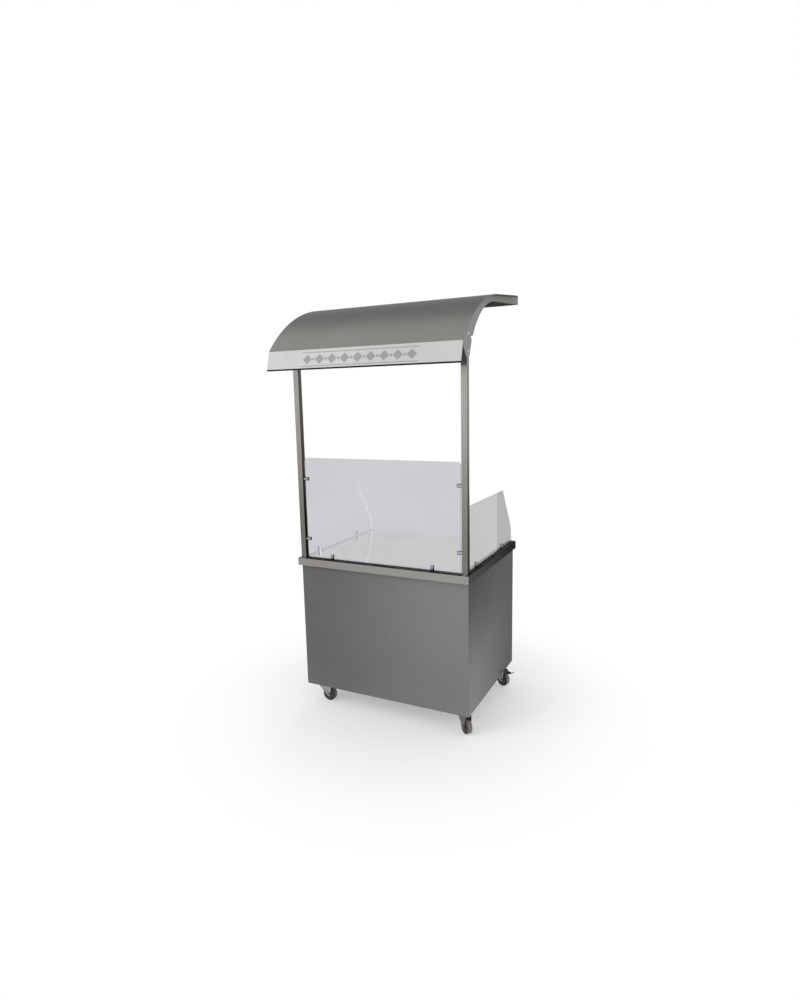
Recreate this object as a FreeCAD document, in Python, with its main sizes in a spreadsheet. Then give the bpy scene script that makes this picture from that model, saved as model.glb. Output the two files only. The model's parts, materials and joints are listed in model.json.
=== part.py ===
import FreeCAD, Part
import math
import os
import Sketcher

# A serving cart for grilled meat: a steel cabinet on four swivel casters, a folded worktop,
# two posts with an arched canopy, a front glass and two side glasses.
# Millimetres. +Z is up, -Y is the customers' side, the cook stands at +Y.
# The origin is on the floor, under the middle of the cart's bounding box.

doc = FreeCAD.newDocument("shawarma_cart")
sheet = doc.addObject("Spreadsheet::Sheet", "Sizes")

size_table = (
    ("worktop_width", 1000, "worktop, left to right"),
    ("worktop_depth", 810, "worktop, front to rear"),
    ("worktop_height", 855, "worktop surface above the floor"),
    ("worktop_sheet", 1.5, "worktop sheet"),
    ("skirt_height", 40, "folded edge of the worktop"),
    ("side_overhang", 10, "worktop edge outside the side panels"),
    ("front_overhang", 24, "worktop edge ahead of the front panel"),
    ("rear_overhang", 24, "worktop edge behind the doors"),
    ("panel_sheet", 1.2, "sheet of panels, doors and floor"),
    ("panel_top_gap", 2, "panel edge below the worktop sheet"),
    ("front_return", 14, "front panel folded round the corner"),
    ("panel_seam", 0.4, "gap between front and side panels"),
    ("stile_width", 30, "side panel folded over the rear corner"),
    ("frame_tube", 30, "square tube of the frame"),
    ("tube_wall", 1.5, "wall of every square tube"),
    ("header_height", 60, "upright size of the tube above the doors"),
    ("shelf_level", 471, "top of the middle shelf above the floor"),
    ("shelf_fold", 25, "folded edge of the shelf"),
    ("shelf_gap", 1, "shelf clear of the uprights"),
    ("stiffener_width", 60, "hat section under the worktop"),
    ("stiffener_crown", 30, "flat of the hat section"),
    ("stiffener_height", 25, "depth of the hat section"),
    ("stiffener_pitch", 350, "between the two hat sections"),
    ("door_depth", 18, "depth of the door pans"),
    ("door_side_gap", 2, "door edge to stile"),
    ("door_meeting_gap", 2, "gap between the two doors"),
    ("door_bottom_gap", 5, "door above the frame's lower edge"),
    ("door_top_gap", 6, "door below the worktop skirt"),
    ("door_rest_gap", 0.5, "door clear of the rails behind it"),
    ("hinge_height", 60, "length of a hinge"),
    ("hinge_inset", 80, "hinge from the end of the door"),
    ("leaf_width", 20, "width of a hinge leaf"),
    ("leaf_sheet", 1.5, "sheet of a hinge leaf"),
    ("knuckle_radius", 4, "outside of a hinge knuckle"),
    ("knuckle_lift", 0.3, "knuckle clear of the door face"),
    ("knuckle_gap", 0.3, "gap between hinge knuckles"),
    ("leaf_gap", 0.4, "leaf clear of the other knuckle"),
    ("hinge_pin_radius", 2, "hinge pin"),
    ("running_gap", 0.05, "radial play of a turning fit"),
    ("handle_length", 164, "door handle end to end"),
    ("handle_foot", 18, "flat foot of the handle"),
    ("handle_slant", 14, "sloping part of the handle"),
    ("handle_reach", 30, "handle away from the door"),
    ("handle_width", 14, "width of the handle strip"),
    ("handle_bar", 4, "thickness of the handle strip"),
    ("handle_inset", 34, "handle from the meeting edge"),
    ("handle_level", 551, "middle of the handle above the floor"),
    ("catch_width", 40, "magnetic catch"),
    ("catch_height", 14, "magnetic catch"),
    ("catch_inset", 28, "catch from the middle of the cart"),
    ("catch_gap", 0.3, "magnet to the door sheet"),
    ("post_size", 30, "square tube of the posts"),
    ("post_side_inset", 11.5, "post from the side of the worktop"),
    ("post_front_inset", 19, "post from the front of the worktop"),
    ("post_roof_gap", 44, "top of the posts below the roof sheet"),
    ("spigot_length", 80, "spigot above and below the worktop"),
    ("spigot_gap", 0.3, "spigot clear of the tubes"),
    ("roof_side_overhang", 26, "roof and fascia outside the worktop"),
    ("roof_sheet", 1.2, "roof sheet"),
    ("roof_radius", 735, "outer radius of the roof"),
    ("front_angle", 49.4, "degrees, slope of the roof at its front edge"),
    ("rear_angle", 6.1, "degrees, slope of the straight rear part"),
    ("roof_front_overhang", 146, "roof front edge ahead of the posts"),
    ("roof_rear_overhang", 35, "roof rear edge behind the worktop"),
    ("roof_corner_cut", 147, "clipped rear corners of the roof sheet, along its sides"),
    ("fascia_top_height", 1963, "roof front edge above the floor"),
    ("fascia_slant", 103, "height of the fascia along its face"),
    ("fascia_angle", 15, "degrees, fascia leaning forward at the bottom"),
    ("fascia_sheet", 1.5, "fascia sheet"),
    ("fascia_flange", 22, "fascia flange under the roof"),
    ("fascia_return", 14, "folded lower edge of the fascia"),
    ("rib_sheet", 3, "end rib plate"),
    ("rib_flange", 18, "flange that carries the roof sheet"),
    ("rib_front_gap", 64, "rib to the roof's front edge, along the roof"),
    ("rib_rear_depth", 44, "rib depth at the rear end"),
    ("rib_waist_depth", 31, "rib depth where the arch begins"),
    ("rib_arch_radius", 440, "inner arch of the rib"),
    ("rib_waist_rear", 40, "rear end of the inner arch, behind the bend of the roof"),
    ("rib_foot_rear", 60, "lower end of the inner arch, behind the post's middle"),
    ("rib_foot_drop", 50, "lower end of the inner arch, below the post's top"),
    ("notch_depth", 30, "relief notch at the rib's foot"),
    ("notch_height", 20, "relief notch at the rib's foot"),
    ("tail_front", 34, "tail ahead of the post's middle"),
    ("tail_drop", 143, "start of the rounded tip below the post's top"),
    ("tail_tip_radius", 30, "rounded tip of the tail"),
    ("tail_tip_rear", 14, "rear end of the tip behind the post's middle"),
    ("bolt_upper_drop", 44, "upper rib bolt below the post's top"),
    ("bolt_lower_drop", 124, "lower rib bolt below the post's top"),
    ("rib_bolt_neck", 8, "square neck of a coach bolt"),
    ("rib_bolt_head", 7.5, "coach bolt head radius"),
    ("rib_bolt_rise", 3.5, "coach bolt head height"),
    ("rib_bolt_length", 12, "coach bolt under its head"),
    ("rear_bar_depth", 25, "rear crossbar along the roof"),
    ("glass_thickness", 6, "toughened glass"),
    ("glass_lift", 4, "glass above the worktop, seal thickness"),
    ("front_glass_gap", 8.5, "front glass edge to post"),
    ("front_glass_height", 550, "height of the front glass"),
    ("front_glass_corner", 18, "rounded upper corners"),
    ("side_glass_height", 330, "height of the side glasses"),
    ("side_glass_gap", 6, "side glass edge to post"),
    ("side_glass_foot_inset", 14, "lower edge's rear end from the worktop's rear"),
    ("side_glass_bend_inset", 25, "lower end of the sloping edge from the worktop's rear"),
    ("side_glass_bend_rise", 88, "height of that point"),
    ("side_glass_top_inset", 185, "top edge's rear end from the worktop's rear"),
    ("seal_edge_inset", 1.5, "seal from the worktop edge"),
    ("seal_margin", 3, "seal past the inner face of the glass"),
    ("seal_cut_gap", 0.3, "seal round a clamp"),
    ("clamp_radius", 10, "glass clamp"),
    ("clamp_length", 28, "glass clamp"),
    ("clamp_base", 4, "solid end of a clamp"),
    ("pad_thickness", 1, "rubber pad in a clamp"),
    ("pad_width", 14, "rubber pad in a clamp"),
    ("pad_end_gap", 3, "pad from the open end of the clamp"),
    ("front_clamp_inset", 163.5, "lower clamps of the front glass from the posts"),
    ("post_clamp_low", 107, "lower post clamps above the worktop"),
    ("post_clamp_high", 439, "upper post clamps above the worktop"),
    ("side_clamp_front", 175, "clamp from the worktop's front"),
    ("side_clamp_rear", 200, "clamp from the worktop's rear"),
    ("caster_height", 110, "floor to the top of the caster plate"),
    ("caster_side_inset", 60, "swivel axis from the cabinet's side"),
    ("caster_front_inset", 69, "swivel axis from the cabinet's front"),
    ("caster_rear_inset", 100, "swivel axis from the cabinet's rear"),
    ("caster_plate_x", 100, "top plate"),
    ("caster_plate_y", 85, "top plate"),
    ("caster_plate_sheet", 3, "top plate"),
    ("caster_hole_x", 80, "bolt spacing"),
    ("caster_hole_y", 60, "bolt spacing"),
    ("caster_bolt_head", 7, "hexagon head, corner radius"),
    ("caster_bolt_rise", 5.2, "hexagon head height"),
    ("gusset_sheet", 4, "corner plate under each corner"),
    ("gusset_x", 120, "corner plate"),
    ("gusset_y", 92, "corner plate"),
    ("race_radius", 26, "swivel race"),
    ("race_height", 6, "swivel race"),
    ("race_gap", 0.3, "race to fork"),
    ("king_pin_radius", 6, "king pin of the swivel"),
    ("king_nut_radius", 10, "king pin nut, corner radius"),
    ("king_nut_height", 3, "king pin nut"),
    ("fork_sheet", 3, "pressed fork"),
    ("fork_inner_width", 32, "between the fork's cheeks"),
    ("fork_front", 27, "fork ahead of the swivel axis"),
    ("fork_rear", 66, "fork behind the swivel axis"),
    ("fork_skirt", 12, "depth of the fork's crown"),
    ("fork_boss_radius", 13, "rounded lower end of a cheek"),
    ("caster_trail", 46, "axle behind the swivel axis"),
    ("wheel_radius", 40, "caster wheel"),
    ("wheel_width", 30, "caster wheel"),
    ("axle_radius", 4, "wheel axle, closed on the fork"),
    ("axle_head_radius", 7.5, "axle ends, corner radius of the hexagon"),
    ("axle_head_height", 5, "axle ends"),
    ("pedal_pivot_trail", 58, "brake pivot behind the swivel axis"),
    ("pedal_pivot_level", 92, "brake pivot above the floor"),
    ("pedal_reach", 62, "pedal from its pivot to its tip"),
    ("pedal_shoe_drop", 11.8, "brake shoe below its pivot"),
    ("pedal_width", 30, "brake pedal"),
    ("pedal_pin_radius", 2.5, "brake pivot"),
    ("front_left_angle", -4, "degrees, resting swivel angle"),
    ("front_right_angle", -43, "degrees, resting swivel angle"),
    ("rear_left_angle", -155, "degrees, resting swivel angle"),
    ("rear_right_angle", -25, "degrees, resting swivel angle"),
    ("cut_overrun", 2, "every cut runs this far past the material"),
)


class Size:
    # A length or angle: its formula for the document and its present value.
    def __init__(self, text, value):
        self.text = text
        self.value = value

    def __add__(self, other):
        other = as_size(other)
        return Size(f"({self.text} + {other.text})", self.value + other.value)

    def __sub__(self, other):
        other = as_size(other)
        return Size(f"({self.text} - {other.text})", self.value - other.value)

    def __mul__(self, other):
        other = as_size(other)
        return Size(f"({self.text} * {other.text})", self.value * other.value)

    def __truediv__(self, other):
        other = as_size(other)
        return Size(f"({self.text} / {other.text})", self.value / other.value)

    def __rmul__(self, other):
        return as_size(other) * self

    def __neg__(self):
        return Size(f"(-1 * {self.text})", -self.value)


def as_size(number):
    return number if isinstance(number, Size) else Size(f"({number!r})", number)


def sine(angle):
    return Size(f"sin({angle.text})", math.sin(math.radians(angle.value)))


def cosine(angle):
    return Size(f"cos({angle.text})", math.cos(math.radians(angle.value)))


def tangent(angle):
    return Size(f"tan({angle.text})", math.tan(math.radians(angle.value)))


def root(square):
    return Size(f"sqrt({square.text})", math.sqrt(square.value))


class Sizes:
    # The sheet's cells, one attribute for each alias.
    def __init__(self):
        for row, (alias, value, note) in enumerate(size_table, 1):
            sheet.set(f"A{row}", note)
            sheet.set(f"B{row}", str(value))
            sheet.setAlias(f"B{row}", alias)
            setattr(self, alias, Size(f"Sizes.{alias}", value))


s = Sizes()
doc.recompute()
zero = Size("0", 0)
nodes = {}
vector = FreeCAD.Vector
turn_to = {
    "x": FreeCAD.Rotation(vector(0, 1, 0), 90),
    "y": FreeCAD.Rotation(vector(1, 0, 0), -90),
    "z": FreeCAD.Rotation(),
}


def place(item, spot):
    for letter, value in zip("xyz", spot):
        if value is not zero:
            item.setExpression(f"Placement.Base.{letter}", value.text)
    return item


def keep(item):
    # Register a finished sub-part under its label.
    nodes[item.Label] = item
    return item


def box(name, low, spans):
    item = doc.addObject("Part::Box", name)
    for edge, value in zip(("Length", "Width", "Height"), spans):
        item.setExpression(edge, value.text)
    return place(item, low)


def block(name, low, high):
    # A box between its lowest and highest corners.
    return box(name, low, [top - bottom for bottom, top in zip(low, high)])


def rod(name, start, radius, length, along="z"):
    item = doc.addObject("Part::Cylinder", name)
    item.Placement = FreeCAD.Placement(vector(), turn_to[along])
    item.setExpression("Radius", radius.text)
    item.setExpression("Height", length.text)
    return place(item, start)


def hexagon(name, start, corner_radius, length, along="z"):
    item = doc.addObject("Part::Prism", name)
    item.Placement = FreeCAD.Placement(vector(), turn_to[along])
    item.Polygon = 6
    item.setExpression("Circumradius", corner_radius.text)
    item.setExpression("Height", length.text)
    return place(item, start)


def fuse(name, items):
    item = doc.addObject("Part::MultiFuse", name)
    item.Shapes = items
    item.Refine = True
    return item


def cluster(name, items):
    item = doc.addObject("Part::Compound", name)
    item.Links = items
    return item


def cut(name, base, tools):
    item = doc.addObject("Part::Cut", name)
    item.Base = base
    item.Tool = tools[0] if len(tools) == 1 else cluster(name + "_cuts", tools)
    return item


def tube(name, low, spans, along):
    # A square or rectangular tube that runs along one axis.
    outer = box(name + "_outer", low, spans)
    inner_low = []
    inner_spans = []
    for letter, start, span in zip("xyz", low, spans):
        if letter == along:
            inner_low.append(start - s.cut_overrun)
            inner_spans.append(span + 2 * s.cut_overrun)
        else:
            inner_low.append(start + s.tube_wall)
            inner_spans.append(span - 2 * s.tube_wall)
    return cut(name, outer, [box(name + "_inner", inner_low, inner_spans)])


def arc_between(start, end, radius, side):
    # The arc's centre lies left or right of the way from start to end.
    middle = (start + end) * 0.5
    half = (end - start) * 0.5
    rise = math.sqrt(max(radius * radius - half.Length ** 2, 0))
    normal = vector(-half.y, half.x, 0).normalize()
    centre = middle + normal * (rise if side == "left" else -rise)
    first, last = (start, end) if side == "left" else (end, start)
    angles = [math.atan2(tip.y - centre.y, tip.x - centre.x) for tip in (first, last)]
    if angles[1] < angles[0]:
        angles[1] += 2 * math.pi
    return Part.ArcOfCircle(Part.Circle(centre, vector(0, 0, 1), radius), angles[0], angles[1])


def draw(sketch, loops):
    # Each corner is (across, up), or (across, up, radius, side) where an arc leads to it.
    # A hole is (centre across, centre up, radius). Every corner is held by the sheet's sizes.
    rules = []
    held = []

    def hold(kind, item, point, value):
        if value is zero:
            axis = -2 if kind == "DistanceX" else -1
            rules.append(Sketcher.Constraint("PointOnObject", item, point, axis))
            return
        rule = Sketcher.Constraint(kind, -1, 1, item, point, value.value)
        rule.Name = f"{kind}{item}"
        rules.append(rule)
        held.append((rule.Name, value.text))

    def hold_radius(item, radius):
        rule = Sketcher.Constraint("Radius", item, radius.value)
        rule.Name = f"Radius{item}"
        rules.append(rule)
        held.append((rule.Name, radius.text))

    count = 0
    for loop in loops:
        if isinstance(loop, tuple):
            centre = vector(loop[0].value, loop[1].value, 0)
            sketch.addGeometry(Part.Circle(centre, vector(0, 0, 1), loop[2].value), False)
            hold("DistanceX", count, 3, loop[0])
            hold("DistanceY", count, 3, loop[1])
            hold_radius(count, loop[2])
            count += 1
            continue
        ends = []
        for index, corner in enumerate(loop):
            following = loop[(index + 1) % len(loop)]
            start = vector(corner[0].value, corner[1].value, 0)
            end = vector(following[0].value, following[1].value, 0)
            if len(following) == 4:
                radius, side = following[2:]
                sketch.addGeometry(arc_between(start, end, radius.value, side), False)
                hold_radius(count + index, radius)
                ends.append((1, 2) if side == "left" else (2, 1))
            else:
                sketch.addGeometry(Part.LineSegment(start, end), False)
                ends.append((1, 2))
            hold("DistanceX", count + index, ends[-1][0], corner[0])
            hold("DistanceY", count + index, ends[-1][0], corner[1])
        for index in range(len(loop)):
            after = (index + 1) % len(loop)
            rules.append(Sketcher.Constraint(
                "Coincident", count + index, ends[index][1], count + after, ends[after][0]))
        count += len(loop)
    sketch.addConstraint(rules)
    for name, text in held:
        sketch.setExpression("Constraints." + name, text)


def sketch_on(body, plane, loops, name):
    sketch = body.newObject("Sketcher::SketchObject", name)
    role = plane.upper() + "_Plane"
    support = [item for item in body.Origin.OriginFeatures if item.Role == role][0]
    sketch.AttachmentSupport = (support, [""])
    sketch.MapMode = "FlatFace"
    draw(sketch, loops)
    return sketch


def prism(name, plane, loops, start, depth):
    # A profile in one plane, padded from start towards the positive axis.
    body = doc.addObject("PartDesign::Body", name)
    pad = body.newObject("PartDesign::Pad", name + "_pad")
    pad.Profile = sketch_on(body, plane, loops, name + "_sketch")
    pad.setExpression("Length", depth.text)
    pad.Reversed = plane == "xz"
    body.Tip = pad
    normal = {"xy": (zero, zero, start), "xz": (zero, start, zero), "yz": (start, zero, zero)}
    return place(body, normal[plane])


def both_ways(loop):
    # Mirror an outline across its vertical axis and run it the other way round.
    return [(-across, up) for across, up in reversed(loop)]


# Places that several pieces share. The row's origin is under the middle of the whole cart,
# so the worktop's middle stands a little behind it.
roof_front_reach = s.worktop_depth / 2 - s.post_front_inset + s.roof_front_overhang
roof_rear_reach = s.worktop_depth / 2 + s.roof_rear_overhang
fascia_reach = roof_front_reach + s.fascia_slant * sine(s.fascia_angle)
mid_y = (fascia_reach - roof_rear_reach) / 2
front_edge = mid_y - s.worktop_depth / 2
rear_edge = mid_y + s.worktop_depth / 2
side_edge = s.worktop_width / 2
sheet_under = s.worktop_height - s.worktop_sheet
skirt_bottom = s.worktop_height - s.skirt_height
cabinet_side = side_edge - s.side_overhang
cabinet_front = front_edge + s.front_overhang
cabinet_rear = rear_edge - s.rear_overhang
panel_top = sheet_under - s.panel_top_gap
frame_side = cabinet_side - s.panel_sheet
frame_front = cabinet_front + s.panel_sheet
frame_rear = cabinet_rear - s.panel_sheet
frame_inner = frame_side - s.frame_tube
rail_rear = cabinet_rear - s.door_depth - s.door_rest_gap
rail_top = s.caster_height + s.frame_tube
post_outer = side_edge - s.post_side_inset
post_inner = post_outer - s.post_size
post_front = front_edge + s.post_front_inset
post_mid_x = post_outer - s.post_size / 2
post_mid_y = post_front + s.post_size / 2
roof_side = side_edge + s.roof_side_overhang
roof_mid_y = mid_y - roof_front_reach + s.roof_radius * sine(s.front_angle)
roof_mid_z = s.fascia_top_height - s.roof_radius * cosine(s.front_angle)
roof_under = s.roof_radius - s.roof_sheet
post_to_roof_mid = roof_mid_y - post_front
roof_over_post = root(roof_under * roof_under - post_to_roof_mid * post_to_roof_mid)
post_top = roof_mid_z + roof_over_post - s.post_roof_gap
bolt_levels = (("upper", post_top - s.bolt_upper_drop), ("lower", post_top - s.bolt_lower_drop))
glass_foot = s.worktop_height + s.glass_lift
clamp_slot = s.glass_thickness + 2 * s.pad_thickness


def frame_members():
    lengths = sheet_under - s.caster_height
    uprights = []
    for side_name, low_x in (("left", -frame_side), ("right", frame_inner)):
        for end_name, low_y in (("front", frame_front), ("rear", frame_rear - s.frame_tube)):
            name = f"{end_name}_{side_name}_upright"
            spans = (s.frame_tube, s.frame_tube, lengths)
            uprights.append(tube(name, (low_x, low_y, s.caster_height), spans, "z"))
    keep(cluster("uprights", uprights))

    side_rails = []
    run = frame_rear - frame_front - 2 * s.frame_tube
    for side_name, low_x in (("left", -frame_side), ("right", frame_inner)):
        for level_name, low_z in (("lower", s.caster_height), ("upper", sheet_under - s.frame_tube)):
            name = f"{level_name}_{side_name}_rail"
            low = (low_x, frame_front + s.frame_tube, low_z)
            side_rails.append(tube(name, low, (s.frame_tube, run, s.frame_tube), "y"))
    keep(cluster("side_rails", side_rails))

    cross = 2 * frame_inner
    rail_spans = (cross, s.frame_tube, s.frame_tube)
    rear_low = rail_rear - s.frame_tube
    cross_rails = [
        tube("front_lower_rail", (-frame_inner, frame_front, s.caster_height), rail_spans, "x"),
        tube("front_upper_rail", (-frame_inner, frame_front, sheet_under - s.frame_tube), rail_spans, "x"),
        tube("rear_lower_rail", (-frame_inner, rear_low, s.caster_height), rail_spans, "x"),
    ]
    keep(cluster("cross_rails", cross_rails))
    header_low = (-frame_inner, rear_low, sheet_under - s.header_height)
    keep(tube("rear_header", header_low, (cross, s.frame_tube, s.header_height), "x"))


def caster_spots():
    # Name, swivel axis and resting angle of each caster.
    axis_x = cabinet_side - s.caster_side_inset
    front_y = cabinet_front + s.caster_front_inset
    rear_y = cabinet_rear - s.caster_rear_inset
    return (
        ("front_left", -axis_x, front_y, s.front_left_angle),
        ("front_right", axis_x, front_y, s.front_right_angle),
        ("rear_left", -axis_x, rear_y, s.rear_left_angle),
        ("rear_right", axis_x, rear_y, s.rear_right_angle),
    )


def corner_gussets():
    plates = []
    for side_name, low_x in (("left", -frame_inner), ("right", frame_inner - s.gusset_x)):
        for end_name, low_y in (("front", frame_front + s.frame_tube),
                                ("rear", rail_rear - s.frame_tube - s.gusset_y)):
            low = (low_x, low_y, s.caster_height)
            plates.append(box(f"{end_name}_{side_name}_gusset", low, (s.gusset_x, s.gusset_y, s.gusset_sheet)))
    keep(cluster("corner_gussets", plates))


def floor_and_shelf():
    low = (-frame_side, frame_front, rail_top)
    high = (frame_side, rail_rear, rail_top + s.panel_sheet)
    floor = block("floor_sheet", low, high)
    corners = []
    for side_name, low_x in (("left", -frame_side - s.cut_overrun), ("right", frame_inner)):
        for end_name, low_y, high_y in (
                ("front", frame_front - s.cut_overrun, frame_front + s.frame_tube),
                ("rear", frame_rear - s.frame_tube, frame_rear + s.cut_overrun)):
            start = (low_x, low_y, rail_top - s.cut_overrun)
            end = (low_x + s.frame_tube + s.cut_overrun, high_y, rail_top + s.panel_sheet + s.cut_overrun)
            corners.append(block(f"floor_{end_name}_{side_name}_notch", start, end))
    keep(cut("floor_panel", floor, corners))

    half = frame_inner - s.shelf_gap
    low_level = s.shelf_level - s.shelf_fold
    outline = [
        (-half, low_level),
        (-half + s.panel_sheet, low_level),
        (-half + s.panel_sheet, s.shelf_level - s.panel_sheet),
        (half - s.panel_sheet, s.shelf_level - s.panel_sheet),
        (half - s.panel_sheet, low_level),
        (half, low_level),
        (half, s.shelf_level),
        (-half, s.shelf_level),
    ]
    shelf_run = rail_rear - frame_front
    keep(prism("middle_shelf", "xz", [outline], frame_front, shelf_run))
    brackets = []
    for side_name, low_x in (("left", -frame_side), ("right", half - s.panel_sheet - s.stile_width)):
        wide = frame_side - (half - s.panel_sheet - s.stile_width)
        rear_y = frame_rear - s.frame_tube - s.stile_width
        for end_name, low_y in (("front", frame_front + s.frame_tube), ("rear", rear_y)):
            low = (low_x, low_y, low_level - s.gusset_sheet)
            brackets.append(box(f"{end_name}_{side_name}_bracket", low, (wide, s.stile_width, s.gusset_sheet)))
    keep(cluster("shelf_brackets", brackets))


def cabinet_panels():
    height = panel_top - s.caster_height
    back = cabinet_front + s.front_return
    front = [
        (-cabinet_side, cabinet_front),
        (cabinet_side, cabinet_front),
        (cabinet_side, back),
        (frame_side, back),
        (frame_side, frame_front),
        (-frame_side, frame_front),
        (-frame_side, back),
        (-cabinet_side, back),
    ]
    keep(prism("front_panel", "xy", [front], s.caster_height, height))
    side = [
        (frame_side, back + s.panel_seam),
        (cabinet_side, back + s.panel_seam),
        (cabinet_side, cabinet_rear),
        (cabinet_side - s.stile_width, cabinet_rear),
        (cabinet_side - s.stile_width, frame_rear),
        (frame_side, frame_rear),
    ]
    keep(prism("right_side_panel", "xy", [side], s.caster_height, height))
    keep(prism("left_side_panel", "xy", [both_ways(side)], s.caster_height, height))


def worktop_pieces():
    outer = block(
        "worktop_block", (-side_edge, front_edge, skirt_bottom), (side_edge, rear_edge, s.worktop_height))
    inner = block(
        "worktop_hollow",
        (-side_edge + s.worktop_sheet, front_edge + s.worktop_sheet, skirt_bottom - s.cut_overrun),
        (side_edge - s.worktop_sheet, rear_edge - s.worktop_sheet, sheet_under))
    spigot_holes = spigot_blocks("spigot_hole", zero, s.cut_overrun)
    keep(cut("worktop", outer, [inner] + spigot_holes))
    keep(cluster("post_spigots", spigot_blocks("spigot", s.spigot_gap, s.spigot_length)))

    half = s.stiffener_width / 2
    crown = s.stiffener_crown / 2
    low = sheet_under - s.stiffener_height
    sheet_size = s.worktop_sheet
    hats = []
    for side_name, middle in (("left", -s.stiffener_pitch / 2), ("right", s.stiffener_pitch / 2)):
        outline = [
            (middle - half, sheet_under - sheet_size),
            (middle - crown - sheet_size, sheet_under - sheet_size),
            (middle - crown, low),
            (middle + crown, low),
            (middle + crown + sheet_size, sheet_under - sheet_size),
            (middle + half, sheet_under - sheet_size),
            (middle + half, sheet_under),
            (middle + crown, sheet_under),
            (middle + crown - sheet_size, low + sheet_size),
            (middle - crown + sheet_size, low + sheet_size),
            (middle - crown, sheet_under),
            (middle - half, sheet_under),
        ]
        run = rail_rear - frame_front - 2 * s.frame_tube
        hats.append(prism(f"{side_name}_hat", "xz", [outline], frame_front + s.frame_tube, run))
    keep(cluster("worktop_stiffeners", hats))


def spigot_blocks(name, gap, reach):
    # The spigot fills what the post and the upright below it have in common.
    low_y = frame_front + s.tube_wall + gap
    high_y = post_front + s.post_size - s.tube_wall - gap
    inner_x = frame_inner + s.tube_wall + gap
    outer_x = post_outer - s.tube_wall - gap
    low_z = sheet_under - reach
    high_z = s.worktop_height + reach
    return [
        block(f"left_{name}", (-outer_x, low_y, low_z), (-inner_x, high_y, high_z)),
        block(f"right_{name}", (inner_x, low_y, low_z), (outer_x, high_y, high_z)),
    ]


def doors():
    outer_x = cabinet_side - s.stile_width - s.door_side_gap
    inner_x = s.door_meeting_gap / 2
    low_z = s.caster_height + s.door_bottom_gap
    high_z = skirt_bottom - s.door_top_gap
    inner_y = cabinet_rear - s.door_depth
    for side_name, low_x, high_x in (("left", -outer_x, -inner_x), ("right", inner_x, outer_x)):
        pan = block(f"{side_name}_door_block", (low_x, inner_y, low_z), (high_x, cabinet_rear, high_z))
        hollow = block(
            f"{side_name}_door_hollow",
            (low_x + s.panel_sheet, inner_y - s.cut_overrun, low_z + s.panel_sheet),
            (high_x - s.panel_sheet, cabinet_rear - s.panel_sheet, high_z - s.panel_sheet))
        keep(cut(f"{side_name}_door", pan, [hollow]))

    catches = []
    high = sheet_under - s.header_height
    for side_name, low_x in (("left", -s.catch_inset - s.catch_width), ("right", s.catch_inset)):
        start = (low_x, rail_rear - s.frame_tube, high - s.catch_height)
        end = (low_x + s.catch_width, cabinet_rear - s.panel_sheet - s.catch_gap, high)
        catches.append(block(f"{side_name}_catch", start, end))
    keep(cluster("door_catches", catches))


hinge_x = cabinet_side - s.stile_width - s.door_side_gap / 2
hinge_y = cabinet_rear + s.knuckle_radius + s.knuckle_lift


def hinge_levels():
    low = s.caster_height + s.door_bottom_gap + s.hinge_inset
    high = skirt_bottom - s.door_top_gap - s.hinge_inset - s.hinge_height
    return (("low", low), ("high", high))


def hinge_leaf(name, pin_x, side, level, knuckle_level, knuckle_length):
    # A leaf and its knuckle: side is 1 where the leaf lies at greater X than the pin, else -1.
    near = s.knuckle_radius + s.leaf_gap

    def strip(label, first, last, low_z, high_z):
        ends = (pin_x + side * first, pin_x + side * last)
        low_x, high_x = ends if side > 0 else ends[::-1]
        return block(label, (low_x, cabinet_rear, low_z), (high_x, cabinet_rear + s.leaf_sheet, high_z))

    knuckle_top = knuckle_level + knuckle_length
    return [
        strip(f"{name}_plate", near, near + s.leaf_width, level, level + s.hinge_height),
        strip(f"{name}_web", zero, near + s.leaf_sheet, knuckle_level, knuckle_top),
        rod(f"{name}_knuckle", (pin_x, hinge_y, knuckle_level), s.knuckle_radius, knuckle_length),
    ]


def hinges():
    # Two-knuckle hinges: the fixed lower knuckle carries the pin, the door's upper one turns on it.
    length = (s.hinge_height - s.knuckle_gap) / 2
    fixed = []
    for door_name, outward in (("left", -1), ("right", 1)):
        pin_x = outward * hinge_x
        moving = []
        for level_name, level in hinge_levels():
            name = f"{door_name}_{level_name}"
            upper = level + length + s.knuckle_gap
            pin = rod(f"{name}_pin", (pin_x, hinge_y, level), s.hinge_pin_radius, s.hinge_height)
            fixed.append(fuse(
                f"{name}_fixed_leaf", hinge_leaf(f"{name}_fixed", pin_x, outward, level, level, length) + [pin]))
            solid = fuse(
                f"{name}_moving_solid", hinge_leaf(f"{name}_moving", pin_x, -outward, level, upper, length))
            bore = rod(
                f"{name}_bore", (pin_x, hinge_y, upper - s.cut_overrun),
                s.hinge_pin_radius + s.running_gap, length + 2 * s.cut_overrun)
            moving.append(cut(f"{name}_moving_leaf", solid, [bore]))
        keep(cluster(f"{door_name}_door_hinge_leaves", moving))
    keep(cluster("fixed_hinge_leaves", fixed))


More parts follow.
